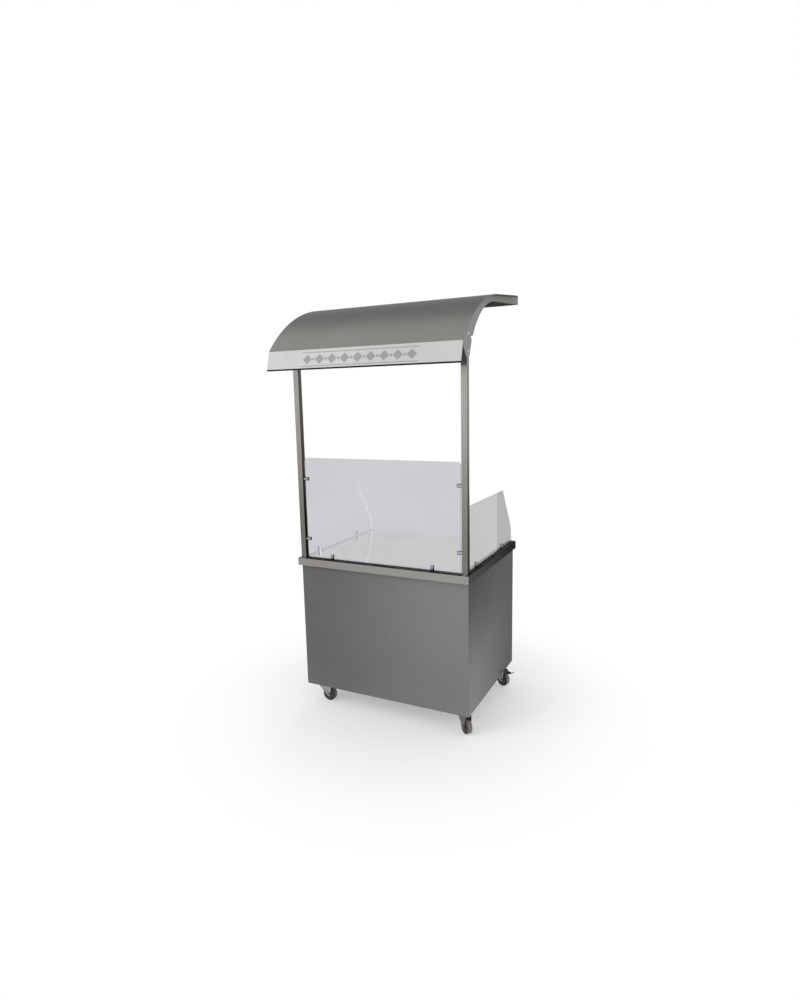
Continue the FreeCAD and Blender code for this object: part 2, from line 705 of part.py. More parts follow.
def door_handles():
    # A bent strip with two flat feet on the door.
    low = s.handle_level - s.handle_length / 2
    foot = s.handle_foot
    bend = s.handle_foot + s.handle_slant
    bar = s.handle_bar
    outer_y = cabinet_rear + s.handle_reach
    thick = bar / 2
    outline = [
        (cabinet_rear, low),
        (cabinet_rear + bar, low),
        (cabinet_rear + bar, low + foot - thick),
        (outer_y, low + bend - thick),
        (outer_y, low + s.handle_length - bend + thick),
        (cabinet_rear + bar, low + s.handle_length - foot + thick),
        (cabinet_rear + bar, low + s.handle_length),
        (cabinet_rear, low + s.handle_length),
        (cabinet_rear, low + s.handle_length - foot),
        (outer_y - bar, low + s.handle_length - bend - thick),
        (outer_y - bar, low + bend + thick),
        (cabinet_rear, low + foot),
    ]
    near = s.door_meeting_gap / 2 + s.handle_inset
    keep(prism("right_handle", "yz", [outline], near, s.handle_width))
    keep(prism("left_handle", "yz", [outline], -near - s.handle_width, s.handle_width))


def neck_block(name, start_x, level, length):
    # The square neck of a coach bolt, or its hole.
    half = s.rib_bolt_neck / 2
    low = (start_x, post_mid_y - half, level - half)
    high = (start_x + length, post_mid_y + half, level + half)
    return block(name, low, high)


def posts():
    spans = (s.post_size, s.post_size, post_top - s.worktop_height)
    for side_name, low_x in (("left", -post_outer), ("right", post_inner)):
        shell = tube(f"{side_name}_post_tube", (low_x, post_front, s.worktop_height), spans, "z")
        start_x = -post_outer - s.cut_overrun if side_name == "left" else post_outer - s.tube_wall
        holes = [
            neck_block(f"{side_name}_post_{level_name}_hole", start_x, level, s.tube_wall + s.cut_overrun)
            for level_name, level in bolt_levels]
        keep(cut(f"{side_name}_post", shell, holes))
    low = (-post_inner, post_front, post_top - s.post_size)
    keep(tube("front_crossbar", low, (2 * post_inner, s.post_size, s.post_size), "x"))


canopy_rear = mid_y + roof_rear_reach


def on_arch(depth, angle):
    # A point under the arched roof, so far below its outer face, where the roof has this slope.
    radius = s.roof_radius - depth
    return roof_mid_y - radius * sine(angle), roof_mid_z + radius * cosine(angle)


def rear_level(depth, at_y):
    # Height of the straight rear part at a place, so far below its outer face.
    y, z = on_arch(depth, s.rear_angle)
    return z + (at_y - y) * tangent(s.rear_angle)


def roof():
    front_outer = on_arch(zero, s.front_angle)
    front_inner = on_arch(s.roof_sheet, s.front_angle)
    bend_outer = on_arch(zero, s.rear_angle)
    bend_inner = on_arch(s.roof_sheet, s.rear_angle)
    outline = [
        front_inner,
        bend_inner + (roof_under, "right"),
        (canopy_rear, rear_level(s.roof_sheet, canopy_rear)),
        (canopy_rear, rear_level(zero, canopy_rear)),
        bend_outer,
        front_outer + (s.roof_radius, "left"),
    ]
    arched = prism("arched_sheet", "yz", [outline], -roof_side, 2 * roof_side)
    low_z = rear_level(s.roof_sheet, canopy_rear - s.roof_corner_cut) - s.cut_overrun
    height = rear_level(zero, canopy_rear) + s.cut_overrun - low_z
    rib_face = post_outer + s.rib_sheet
    clips = []
    for name, side in (("left_clip", -1), ("right_clip", 1)):
        corner = [
            (side * rib_face, canopy_rear),
            (side * roof_side, canopy_rear - s.roof_corner_cut),
            (side * (roof_side + s.cut_overrun), canopy_rear - s.roof_corner_cut),
            (side * (roof_side + s.cut_overrun), canopy_rear + s.cut_overrun),
            (side * rib_face, canopy_rear + s.cut_overrun),
        ]
        clips.append(prism(name, "xy", [corner], low_z, height))
    keep(cut("roof_sheet", arched, clips))


def fascia():
    # A folded sheet: a flange under the roof, the leaning face and a return at the bottom.
    lean = s.fascia_angle
    slope = s.front_angle
    thick = s.fascia_sheet
    top_y, top_z = on_arch(s.roof_sheet, slope)
    face_y = mid_y - roof_front_reach
    bottom_y = mid_y - fascia_reach
    bottom_z = s.fascia_top_height - s.fascia_slant * cosine(lean)
    inner_z = bottom_z + thick
    outline = [
        (bottom_y, bottom_z),
        (bottom_y + s.fascia_return, bottom_z),
        (bottom_y + s.fascia_return, inner_z),
        (bottom_y + thick / cosine(lean) - thick * tangent(lean), inner_z),
        (top_y + thick, top_z - thick),
        (top_y + thick + s.fascia_flange * cosine(slope), top_z - thick + s.fascia_flange * sine(slope)),
        (top_y + s.fascia_flange * cosine(slope), top_z + s.fascia_flange * sine(slope)),
        (top_y, top_z),
        (face_y, s.fascia_top_height - thick),
    ]
    body = prism("fascia_fold", "yz", [outline], -roof_side, 2 * roof_side)
    low_x = -roof_side - s.cut_overrun
    room = [
        rod("fascia_under_roof", (low_x, roof_mid_y, roof_mid_z), roof_under, 2 * -low_x, "x"),
        block(
            "fascia_ahead_of_roof", (low_x, bottom_y - s.cut_overrun, bottom_z - s.cut_overrun),
            (-low_x, face_y, s.fascia_top_height)),
    ]
    trimmed = doc.addObject("Part::Common", "fascia")
    trimmed.Base = body
    trimmed.Tool = fuse("fascia_room", room)
    keep(trimmed)


def ribs():
    # The end rib: a plate that arches from the rear edge to a tail bolted on the post,
    # with a flange under the roof sheet.
    top = s.roof_sheet
    low = s.roof_sheet + s.rib_sheet
    half_turn = Size("180", 180) / Size("pi", math.pi)
    start_angle = s.front_angle - half_turn * (s.rib_front_gap / s.roof_radius)
    front = on_arch(top, start_angle)
    bend = on_arch(top, s.rear_angle)
    rear = (canopy_rear, rear_level(top, canopy_rear))
    waist_y = bend[0] + s.rib_waist_rear
    waist_z = rear_level(s.rib_waist_depth, waist_y)
    foot_y = post_mid_y + s.rib_foot_rear
    foot_z = post_top - s.rib_foot_drop
    tail_z = post_top - s.tail_drop
    outline = [
        front + (roof_under, "left"),
        (post_mid_y - s.tail_front, tail_z),
        (post_mid_y + s.tail_tip_rear, tail_z, s.tail_tip_radius, "left"),
        (foot_y - s.notch_depth / 2, foot_z - s.notch_height),
        (foot_y - s.notch_depth, foot_z - s.notch_height / 3),
        (foot_y, foot_z),
        (waist_y, waist_z, s.rib_arch_radius, "right"),
        (canopy_rear, rear_level(top, canopy_rear) - s.rib_rear_depth),
        rear,
        bend,
    ]
    flange = [
        on_arch(low, start_angle),
        on_arch(low, s.rear_angle) + (s.roof_radius - low, "right"),
        (canopy_rear, rear_level(low, canopy_rear)),
        rear,
        bend,
        front + (roof_under, "left"),
    ]
    for side_name, plate_x, flange_x in (
            ("left", -post_outer - s.rib_sheet, -post_outer), ("right", post_outer, post_outer - s.rib_flange)):
        plate = prism(f"{side_name}_rib_plate", "yz", [outline], plate_x, s.rib_sheet)
        strip = prism(f"{side_name}_rib_strip", "yz", [flange], flange_x, s.rib_flange)
        holes = [
            neck_block(
                f"{side_name}_rib_{level_name}_hole", plate_x - s.cut_overrun, level,
                s.rib_sheet + 2 * s.cut_overrun)
            for level_name, level in bolt_levels]
        keep(cut(f"{side_name}_rib", fuse(f"{side_name}_rib_blank", [plate, strip]), holes))


def rib_bolts():
    # Coach bolts: a round head and a square neck through the rib and the post's wall.
    face = post_outer + s.rib_sheet
    bolts = []
    for side_name, neck_x, head_x in (
            ("left", -face, -face - s.rib_bolt_rise), ("right", face - s.rib_bolt_length, face)):
        for level_name, level in bolt_levels:
            name = f"{side_name}_{level_name}_rib_bolt"
            neck = neck_block(name + "_neck", neck_x, level, s.rib_bolt_length)
            head = rod(name + "_head", (head_x, post_mid_y, level), s.rib_bolt_head, s.rib_bolt_rise, "x")
            bolts.append(fuse(name, [neck, head]))
    keep(cluster("rib_bolts", bolts))


def rear_crossbar():
    # A tube between the ribs, set square to the roof's rear slope.
    depth = s.roof_sheet + s.rib_sheet
    front_y = canopy_rear - s.rear_bar_depth
    high = s.rib_rear_depth - s.rib_sheet
    wall = s.tube_wall

    def corner(y, drop):
        return y, rear_level(depth, y) - drop

    outer = [
        corner(front_y, high),
        corner(canopy_rear, high),
        corner(canopy_rear, zero),
        corner(front_y, zero),
    ]
    inner = [
        corner(front_y + wall, high - wall),
        corner(canopy_rear - wall, high - wall),
        corner(canopy_rear - wall, wall),
        corner(front_y + wall, wall),
    ]
    keep(prism("rear_crossbar", "yz", [outer, inner], -post_outer, 2 * post_outer))


def glasses():
    half = post_inner - s.front_glass_gap
    round_off = s.front_glass_corner
    top = glass_foot + s.front_glass_height
    outline = [
        (-half, glass_foot),
        (half, glass_foot),
        (half, top - round_off),
        (half - round_off, top, round_off, "left"),
        (-half + round_off, top),
        (-half, top - round_off, round_off, "left"),
    ]
    start = post_mid_y - s.glass_thickness / 2
    keep(prism("front_glass", "xz", [outline], start, s.glass_thickness))
    front_y = post_front + s.post_size + s.side_glass_gap
    side = [
        (front_y, glass_foot),
        (rear_edge - s.side_glass_foot_inset, glass_foot),
        (rear_edge - s.side_glass_bend_inset, glass_foot + s.side_glass_bend_rise),
        (rear_edge - s.side_glass_top_inset, glass_foot + s.side_glass_height),
        (front_y, glass_foot + s.side_glass_height),
    ]
    for side_name, middle in (("left", -post_mid_x), ("right", post_mid_x)):
        keep(prism(f"{side_name}_glass", "yz", [side], middle - s.glass_thickness / 2, s.glass_thickness))


def clamp_list():
    # Name, start of the clamp, the way it points, and the direction across the glass.
    top = s.worktop_height
    items = []
    for side_name, outward in (("left", -1), ("right", 1)):
        spot = (outward * (post_inner - s.front_clamp_inset), post_mid_y, top)
        items.append((f"front_{side_name}_clamp", spot, "z", 1, "y"))
        for level_name, rise in (("low", s.post_clamp_low), ("high", s.post_clamp_high)):
            spot = (outward * post_inner, post_mid_y, top + rise)
            items.append((f"post_{side_name}_{level_name}_clamp", spot, "x", -outward, "y"))
        for end_name, spot_y in (
                ("front", front_edge + s.side_clamp_front), ("rear", rear_edge - s.side_clamp_rear)):
            spot = (outward * post_mid_x, spot_y, top)
            items.append((f"side_{side_name}_{end_name}_clamp", spot, "z", 1, "x"))
    return items


def shifted(spot, moves):
    # Move a place by amounts given for some of its axes.
    return tuple(value + moves[letter] if letter in moves else value for letter, value in zip("xyz", spot))


def span_along(spot, along, way, first, last, across):
    # A box along a clamp's axis from first to last, with half sizes on the other axes.
    low = {}
    high = {}
    for letter, (less, more) in across.items():
        low[letter] = less
        high[letter] = more
    low[along] = first if way > 0 else -last
    high[along] = last if way > 0 else -first
    return shifted(spot, low), shifted(spot, high)


def clamps():
    bodies = []
    pads = []
    for name, spot, along, way, normal in clamp_list():
        third = [letter for letter in "xyz" if letter not in (along, normal)][0]
        half_slot = clamp_slot / 2
        start = spot if way > 0 else shifted(spot, {along: -s.clamp_length})
        barrel = rod(name + "_barrel", start, s.clamp_radius, s.clamp_length, along)
        wide = s.clamp_radius + s.cut_overrun
        low, high = span_along(
            spot, along, way, s.clamp_base, s.clamp_length + s.cut_overrun,
            {normal: (-half_slot, half_slot), third: (-wide, wide)})
        bodies.append(cut(name, barrel, [block(name + "_slot", low, high)]))
        half_glass = s.glass_thickness / 2
        first = s.clamp_length - s.pad_end_gap - s.pad_width
        for face_name, less, more in (("inner", -half_slot, -half_glass), ("outer", half_glass, half_slot)):
            low, high = span_along(
                spot, along, way, first, s.clamp_length - s.pad_end_gap,
                {normal: (less, more), third: (-s.pad_width / 2, s.pad_width / 2)})
            pads.append(block(f"{name}_{face_name}_pad", low, high))
    keep(cluster("glass_clamps", bodies))
    keep(cluster("clamp_pads", pads))


def rim_seals():
    # Black strips on the rim of the worktop, under and outside the glasses.
    low_z = s.worktop_height
    high_z = glass_foot
    inset = s.seal_edge_inset
    inner = s.glass_thickness / 2 + s.seal_margin
    gap = s.seal_cut_gap
    front = block(
        "front_seal", (-post_inner + gap, front_edge + inset, low_z),
        (post_inner - gap, post_mid_y + inner, high_z))
    behind_post = post_front + s.post_size + gap
    right = block(
        "right_seal", (post_mid_x - inner, behind_post, low_z), (side_edge - inset, rear_edge - inset, high_z))
    left = block(
        "left_seal", (-side_edge + inset, behind_post, low_z), (-post_mid_x + inner, rear_edge - inset, high_z))
    room = s.clamp_radius + gap
    tools = []
    for name, spot, along, way, normal in clamp_list():
        if along == "z":
            low = shifted(spot, {"x": -room, "y": -room, "z": -s.cut_overrun})
            high = shifted(spot, {"x": room, "y": room, "z": s.glass_lift + s.cut_overrun})
            tools.append(block(name + "_seal_notch", low, high))
    keep(cut("rim_seals", cluster("seal_strips", [front, left, right]), tools))


plate_under = s.caster_height - s.caster_plate_sheet
fork_top = plate_under - s.race_height - s.race_gap
crown_under = fork_top - s.fork_sheet


def caster_plates():
    # The fixed half of each caster: top plate with its four bolt heads, swivel race and king pin.
    mounts = []
    nut_top = crown_under - s.race_gap
    race_low = plate_under - s.race_height
    for name, axis_x, axis_y, angle in caster_spots():
        low = (axis_x - s.caster_plate_x / 2, axis_y - s.caster_plate_y / 2, plate_under)
        items = [
            box(name + "_plate", low, (s.caster_plate_x, s.caster_plate_y, s.caster_plate_sheet)),
            rod(name + "_race", (axis_x, axis_y, race_low), s.race_radius, s.race_height),
            rod(name + "_king_pin", (axis_x, axis_y, nut_top), s.king_pin_radius, plate_under - nut_top),
            hexagon(name + "_king_nut", (axis_x, axis_y, nut_top - s.king_nut_height),
                    s.king_nut_radius, s.king_nut_height),
        ]
        for across in (-1, 1):
            for along in (-1, 1):
                spot_x = axis_x + across * s.caster_hole_x / 2
                spot_y = axis_y + along * s.caster_hole_y / 2
                items.append(hexagon(
                    name + "_bolt_head", (spot_x, spot_y, plate_under - s.caster_bolt_rise),
                    s.caster_bolt_head, s.caster_bolt_rise))
        mounts.append(fuse(name + "_mount", items))
    keep(cluster("caster_plates", mounts))


def on_caster(item, axis_x, axis_y, angle, trail=zero, rise=zero):
    # Move a piece from the caster's own frame, where X is the way the wheel trails.
    spot = (axis_x + trail * cosine(angle), axis_y + trail * sine(angle), rise)
    item.setExpression("Placement.Rotation.Angle", angle.text)
    return place(item, spot)


def fork(name, axis_x, axis_y, angle, braked):
    # The pressed fork with the axle closed on its cheeks, and the brake's pivot where it has one.
    trail = s.caster_trail
    boss = s.fork_boss_radius
    boss_share = 0.8
    drop_share = 0.6
    level = s.wheel_radius
    cheek = [
        (-s.fork_front, fork_top - s.fork_skirt),
        (trail - boss_share * boss, level - drop_share * boss),
        (trail + boss_share * boss, level - drop_share * boss, boss, "left"),
        (s.fork_rear, fork_top - s.fork_skirt),
        (s.fork_rear, fork_top),
        (-s.fork_front, fork_top),
    ]
    half = s.fork_inner_width / 2
    outer = half + s.fork_sheet
    body = doc.addObject("PartDesign::Body", name + "_fork_pressing")
    blank = body.newObject("PartDesign::Pad", name + "_fork_blank")
    blank.Profile = sketch_on(body, "xz", [cheek], name + "_cheek_sketch")
    blank.setExpression("Length", (2 * outer).text)
    blank.Midplane = True
    low = level - boss - s.cut_overrun
    slot = [(-half, low), (half, low), (half, crown_under), (-half, crown_under)]
    channel = body.newObject("PartDesign::Pocket", name + "_fork_channel")
    channel.Profile = sketch_on(body, "yz", [slot], name + "_channel_sketch")
    channel.Type = 1
    channel.Midplane = True
    bore = body.newObject("PartDesign::Pocket", name + "_fork_bore")
    pin_bore = s.king_pin_radius + s.running_gap
    bore.Profile = sketch_on(body, "xy", [(zero, zero, pin_bore)], name + "_bore_sketch")
    bore.Type = 1
    bore.Midplane = True
    body.Tip = bore
    items = [
        body,
        rod(name + "_axle", (trail, -outer, level), s.axle_radius, 2 * outer, "y"),
        hexagon(name + "_axle_head", (trail, -outer - s.axle_head_height, level),
                s.axle_head_radius, s.axle_head_height, "y"),
        hexagon(name + "_axle_nut", (trail, outer, level), s.axle_head_radius, s.axle_head_height, "y"),
    ]
    if braked:
        pivot = (s.pedal_pivot_trail, -outer, s.pedal_pivot_level)
        items.append(rod(name + "_brake_pivot", pivot, s.pedal_pin_radius, 2 * outer, "y"))
    keep(on_caster(fuse(name + "_fork", items), axis_x, axis_y, angle))


def wheel(name, axis_x, axis_y, angle):
    # A moulded wheel with its tread, bored for the axle.
    side = s.wheel_width / 2
    tread = rod(name + "_tread", (zero, -side, zero), s.wheel_radius, s.wheel_width, "y")
    bore = rod(
        name + "_bore", (zero, -side - s.cut_overrun, zero),
        s.axle_radius + s.running_gap, s.wheel_width + 2 * s.cut_overrun, "y")
    item = cut(name + "_caster_wheel", tread, [bore])
    keep(on_caster(item, axis_x, axis_y, angle, s.caster_trail, s.wheel_radius))


def pedal(name, axis_x, axis_y, angle):
    # A pressed pedal: a shoe over the tread, the pivot's bore and a tip that kicks up.
    pedal_shares = (
        (-0.1, -0.3), (-0.035, -0.3), (-0.035, -1.0), (0.05, -1.0), (0.05, -0.3), (0.16, -0.3),
        (0.2, -0.2), (0.68, -0.28), (1.0, 0.68), (0.97, 0.92), (0.66, 0.0), (0.2, 0.1), (0.16, 0.3),
        (-0.1, 0.3),
    )
    outline = [(s.pedal_reach * across, s.pedal_shoe_drop * up) for across, up in pedal_shares]
    half = s.pedal_width / 2
    loops = [outline, (zero, zero, s.pedal_pin_radius + s.running_gap)]
    lever = prism(name + "_pedal_lever", "xz", loops, -half, s.pedal_width)
    item = cluster(name + "_brake_pedal", [lever])
    keep(on_caster(item, axis_x, axis_y, angle, s.pedal_pivot_trail, s.pedal_pivot_level))


def casters():
    for name, axis_x, axis_y, angle in caster_spots():
        braked = name.startswith("rear")
        fork(name, axis_x, axis_y, angle, braked)
        wheel(name, axis_x, axis_y, angle)
        if braked:
            pedal(name, axis_x, axis_y, angle)


frame_members()
corner_gussets()
floor_and_shelf()
cabinet_panels()
worktop_pieces()
doors()
hinges()
door_handles()
posts()
roof()
fascia()
ribs()
rib_bolts()
rear_crossbar()
glasses()
clamps()
rim_seals()
caster_plates()
casters()

doc.recompute()

for item in doc.Objects:
    if "Invalid" in item.State or "Error" in item.State:
        raise RuntimeError(f"{item.Label} failed: {item.State}")
for label, item in nodes.items():
    if item.Shape.isNull() or not item.Shape.isValid():
        raise RuntimeError(f"{label} has no valid shape")

os.makedirs("parts", exist_ok=True)
for label, item in nodes.items():
    item.Shape.exportStep(os.path.join("parts", label + ".step"))
    print(f"{label}: {len(item.Shape.Solids)} solids, {item.Shape.Volume / 1000:.1f} cubic centimetres")
print(f"{len(nodes)} sub-parts written")
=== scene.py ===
import bpy
import bmesh
import json
import math
from mathutils import Matrix, Vector


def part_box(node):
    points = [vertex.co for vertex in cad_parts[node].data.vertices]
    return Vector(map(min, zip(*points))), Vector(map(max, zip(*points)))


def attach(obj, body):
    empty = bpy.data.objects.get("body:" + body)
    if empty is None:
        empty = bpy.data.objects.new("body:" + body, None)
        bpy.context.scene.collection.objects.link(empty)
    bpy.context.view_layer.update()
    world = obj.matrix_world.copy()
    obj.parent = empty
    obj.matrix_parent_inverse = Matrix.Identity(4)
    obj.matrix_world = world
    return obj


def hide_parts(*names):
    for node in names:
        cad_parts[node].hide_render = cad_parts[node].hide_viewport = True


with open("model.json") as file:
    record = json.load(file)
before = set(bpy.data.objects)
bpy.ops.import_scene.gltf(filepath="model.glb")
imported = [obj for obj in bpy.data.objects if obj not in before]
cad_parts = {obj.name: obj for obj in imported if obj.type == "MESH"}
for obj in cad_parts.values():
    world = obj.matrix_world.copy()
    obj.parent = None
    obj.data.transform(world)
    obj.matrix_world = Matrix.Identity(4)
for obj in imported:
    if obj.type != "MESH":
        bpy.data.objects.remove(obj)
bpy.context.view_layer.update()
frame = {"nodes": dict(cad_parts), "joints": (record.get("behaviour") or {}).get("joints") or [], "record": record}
nodes = frame["nodes"]
joints = {joint["name"]: joint for joint in frame["joints"]}
corners = ("front_left", "front_right", "rear_left", "rear_right")
scene = bpy.context.scene
print("frame loaded:", len(nodes), "nodes")


# Colours are typed as they look on a screen, from 0 to 255, and turned into light here.
def tone(red, green, blue):
    def channel(value):
        share = value / 255
        return share / 12.92 if share <= 0.04045 else ((share + 0.055) / 1.055) ** 2.4
    return (channel(red), channel(green), channel(blue), 1.0)


black, white = (0.0, 0.0, 0.0, 1.0), (1.0, 1.0, 1.0, 1.0)
number, colour, vector = "NodeSocketFloat", "NodeSocketColor", "NodeSocketVector"
mixSockets = {"FLOAT": (2, 3, 0), "VECTOR": (4, 5, 1), "RGBA": (6, 7, 2)}  # first, second and result


def feed(tree, node, sockets):
    # Link a node's inputs to other nodes' sockets, or set them to plain values.
    for key, value in sockets.items():
        if isinstance(value, bpy.types.NodeSocket):
            tree.links.new(value, node.inputs[key])
        else:
            node.inputs[key].default_value = value


def addNode(tree, kind, place, sockets=None, **settings):
    node = tree.nodes.new(kind)
    node.location = place
    for key, value in settings.items():
        setattr(node, key, value)
    feed(tree, node, sockets or {})
    return node


def newGroup(name, inputs, outputs):
    # A node group, with the sockets that it is given and those of its result.
    group = bpy.data.node_groups.new(name, "ShaderNodeTree")
    for label, kind, value in inputs:
        socket = group.interface.new_socket(label, in_out="INPUT", socket_type=kind)
        if value is not None:
            socket.default_value = value
    for label, kind in outputs:
        group.interface.new_socket(label, in_out="OUTPUT", socket_type=kind)
    given = addNode(group, "NodeGroupInput", (-900, 0)).outputs
    return group, given, addNode(group, "NodeGroupOutput", (900, 0))


def calculate(tree, operation, place, *values, clamp=False):
    return addNode(tree, "ShaderNodeMath", place, dict(enumerate(values)), operation=operation,
                   use_clamp=clamp).outputs[0]


def softStep(tree, value, low, high, place, start=0.0, end=1.0):
    # A smooth change from start to end while the value goes from low to high.
    return addNode(tree, "ShaderNodeMapRange", place, {
        "Value": value, "From Min": low, "From Max": high, "To Min": start, "To Max": end},
        interpolation_type="SMOOTHSTEP").outputs[0]


def span(tree, value, low, high, place):
    # Turn a mask from 0 to 1 into a range of values.
    return addNode(tree, "ShaderNodeMapRange", place, {"Value": value, "To Min": low, "To Max": high}).outputs[0]


def noise(tree, spot, place, **settings):
    sockets = {label.capitalize(): value for label, value in settings.items()}
    return addNode(tree, "ShaderNodeTexNoise", place, {"Vector": spot, **sockets}).outputs["Fac"]


def axesOf(tree, value, place):
    return addNode(tree, "ShaderNodeSeparateXYZ", place, {0: value}).outputs


def mixOf(tree, factor, first, second, place, kind="RGBA"):
    # Blend two colours, vectors or numbers.
    low, high, result = mixSockets[kind]
    node = addNode(tree, "ShaderNodeMix", place, {0: factor, low: first, high: second}, data_type=kind)
    return node.outputs[result]


def surfacePlace(tree, place):
    return addNode(tree, "ShaderNodeTexCoord", place).outputs


def brushedGrainGroup():
    # Fine lines along one direction, turned on faces that look sideways.
    group, given, result = newGroup(
        "brushedGrain",
        [("Stretch", vector, (4.0, 400.0, 400.0)), ("Side Stretch", vector, (400.0, 4.0, 400.0)),
         ("Contrast", number, 1.0)],
        [("Streak", number), ("Height", number)])
    sidewaysFrom, middle = 0.7, 0.5
    place = surfacePlace(group, (-900, 300))
    sideways = calculate(group, "ABSOLUTE", (-500, 500), axesOf(group, place["Normal"], (-700, 500))["X"])
    turned = calculate(group, "GREATER_THAN", (-300, 500), sideways, sidewaysFrom)
    stretch = mixOf(group, turned, given["Stretch"], given["Side Stretch"], (-500, 100), "VECTOR")
    scaled = addNode(group, "ShaderNodeVectorMath", (-300, 200), {0: place["Object"], 1: stretch},
                     operation="MULTIPLY").outputs[0]
    fine = noise(group, scaled, (-100, 300), scale=1.0, detail=4.0, roughness=0.7)
    centred = calculate(group, "SUBTRACT", (100, 300), fine, middle)
    streak = calculate(group, "MULTIPLY_ADD", (300, 300), centred, given["Contrast"], middle, clamp=True)
    feed(group, result, {"Streak": streak, "Height": fine})
    return group


def handlingMarksGroup():
    # Broad soft patches where a surface was wiped and touched, and small specks.
    group, given, result = newGroup(
        "handlingMarks",
        [("Patch Scale", number, 3.0), ("Speck Scale", number, 160.0), ("Speck Level", number, 0.68)],
        [("Patches", number), ("Specks", number)])
    patchFrom, patchTo, speckEdge = 0.35, 0.7, 0.06
    spot = surfacePlace(group, (-900, 300))["Object"]
    broad = noise(group, spot, (-500, 300), scale=given["Patch Scale"], detail=5.0, distortion=0.6)
    dots = noise(group, spot, (-500, -100), scale=given["Speck Scale"], detail=2.0)
    upper = calculate(group, "ADD", (-300, -300), given["Speck Level"], speckEdge)
    feed(group, result, {
        "Patches": softStep(group, broad, patchFrom, patchTo, (-200, 300)),
        "Specks": softStep(group, dots, given["Speck Level"], upper, (-100, -100))})
    return group


def lowDustGroup():
    # Dust that thickens towards the floor.
    group, given, result = newGroup(
        "lowDust", [("Clean Above", number, 0.3), ("Amount", number, 0.3)], [("Dust", number)])
    spot = surfacePlace(group, (-900, 200))["Object"]
    height = axesOf(group, spot, (-700, 200))["Z"]
    low = softStep(group, height, 0.0, given["Clean Above"], (-450, 200), 1.0, 0.0)
    cloud = noise(group, spot, (-450, -100), scale=38.0, detail=6.0)
    mixed = calculate(group, "MULTIPLY", (-150, 100), low, cloud)
    feed(group, result, {"Dust": calculate(group, "MULTIPLY", (100, 100), mixed, given["Amount"], clamp=True)})
    return group


# The ways that a face can look, each with its painted light or shade, and the half width over which the painted
# shade changes towards the left.
toneLabels = {"low": "Low", "high": "High", "left": "Left", "canopy": "Canopy Shade", "rightLow": "Right Low",
              "rightHigh": "Right High", "rightRear": "Right Rear", "upward": "Upward", "downward": "Downward"}
facingSteps = {"side": 0.46, "rightward": (0.55, 0.85), "upward": (0.75, 0.95), "downward": (-0.95, -0.5)}


def paintedFacingShadeGroup():
    # Painted light and shade: tones that change with height and towards the left, a painted shadow under the
    # canopy, and others for faces that look right, up or down.
    group, given, result = newGroup(
        "paintedFacingShade",
        [(label, colour, None) for label in toneLabels.values()]
        + [(label, number, value) for label, value in (
            ("From Z", 0.0), ("To Z", 1.0), ("From Y", -0.3), ("To Y", 0.45), ("Left Share", 0.0),
            ("Canopy Shade From Z", 1.85), ("Canopy Shade To Z", 1.87), ("Top Half", 9.0))],
        [("Colour", colour), ("Top", number)])
    place = surfacePlace(group, (-900, 0))
    spot = axesOf(group, place["Object"], (-700, 150))
    face = axesOf(group, place["Normal"], (-700, -250))
    side = facingSteps["side"]
    # Painted shadow under the canopy: above this height, front faces take the canopy's dark tone.
    under = softStep(group, spot["Z"], given["Canopy Shade From Z"], given["Canopy Shade To Z"], (-450, 800))
    leftward = softStep(group, spot["X"], -side, side, (-450, 550), given["Left Share"], 0.0)
    up = softStep(group, spot["Z"], given["From Z"], given["To Z"], (-450, 300))
    back = softStep(group, spot["Y"], given["From Y"], given["To Y"], (-450, 50))
    rightward = softStep(group, face["X"], *facingSteps["rightward"], (-450, -150))
    upward = softStep(group, face["Z"], *facingSteps["upward"], (-450, -350))
    below = softStep(group, face["Z"], *facingSteps["downward"], (-450, -550), 1.0, 0.0)
    # Beyond the top's half width a face that looks up takes the right side's painted shade.
    aside = calculate(group, "ABSOLUTE", (-500, -450), spot["X"])
    within = calculate(group, "LESS_THAN", (-400, -450), aside, given["Top Half"])
    above = calculate(group, "MULTIPLY", (-300, -400), upward, within)
    outside = calculate(group, "SUBTRACT", (-200, -300), upward, above)
    right = calculate(group, "MAXIMUM", (-100, -200), rightward, outside)
    plain = mixOf(group, up, given["Low"], given["High"], (-250, 400))
    wide = mixOf(group, leftward, plain, given["Left"], (-150, 400))
    front = mixOf(group, under, wide, given["Canopy Shade"], (50, 400))
    sideUp = mixOf(group, up, given["Right Low"], given["Right High"], (-150, 150))
    sideAll = mixOf(group, back, sideUp, given["Right Rear"], (50, 100))
    faced = mixOf(group, right, front, sideAll, (250, 200))
    lifted = mixOf(group, above, faced, given["Upward"], (450, 100))
    feed(group, result, {"Colour": mixOf(group, below, lifted, given["Downward"], (650, 0)), "Top": above})
    return group


def farCornerGroup():
    # A mask for what lies left of one place and behind another, where painted highlights and painted glow go.
    group, given, result = newGroup(
        "farCorner", [("Left Of", number, -0.46), ("Behind", number, -0.28)], [("Mask", number)])
    spot = axesOf(group, surfacePlace(group, (-900, 0))["Object"], (-700, 0))
    leftward = calculate(group, "LESS_THAN", (-400, 100), spot["X"], given["Left Of"])
    back = calculate(group, "GREATER_THAN", (-400, -100), spot["Y"], given["Behind"])
    feed(group, result, {"Mask": calculate(group, "MULTIPLY", (-100, 0), leftward, back)})
    return group


brushedGrain = brushedGrainGroup()
handlingMarks = handlingMarksGroup()
lowDust = lowDustGroup()
paintedFacingShade = paintedFacingShadeGroup()
farCorner = farCornerGroup()
print("node groups made")


def startMaterial(name, constants):
    material = bpy.data.materials.new(name)
    material.use_nodes = True
    tree = material.node_tree
    shader = tree.nodes["Principled BSDF"]
    feed(tree, shader, constants)
    return material, tree, shader


def placeGroup(tree, group, place, values):
    return addNode(tree, "ShaderNodeGroup", place, values, node_tree=group).outputs


def bump(tree, height, values, place):
    return addNode(tree, "ShaderNodeBump", place, {
        "Strength": values["bump"], "Distance": values["bumpDepth"], "Height": height}).outputs[0]


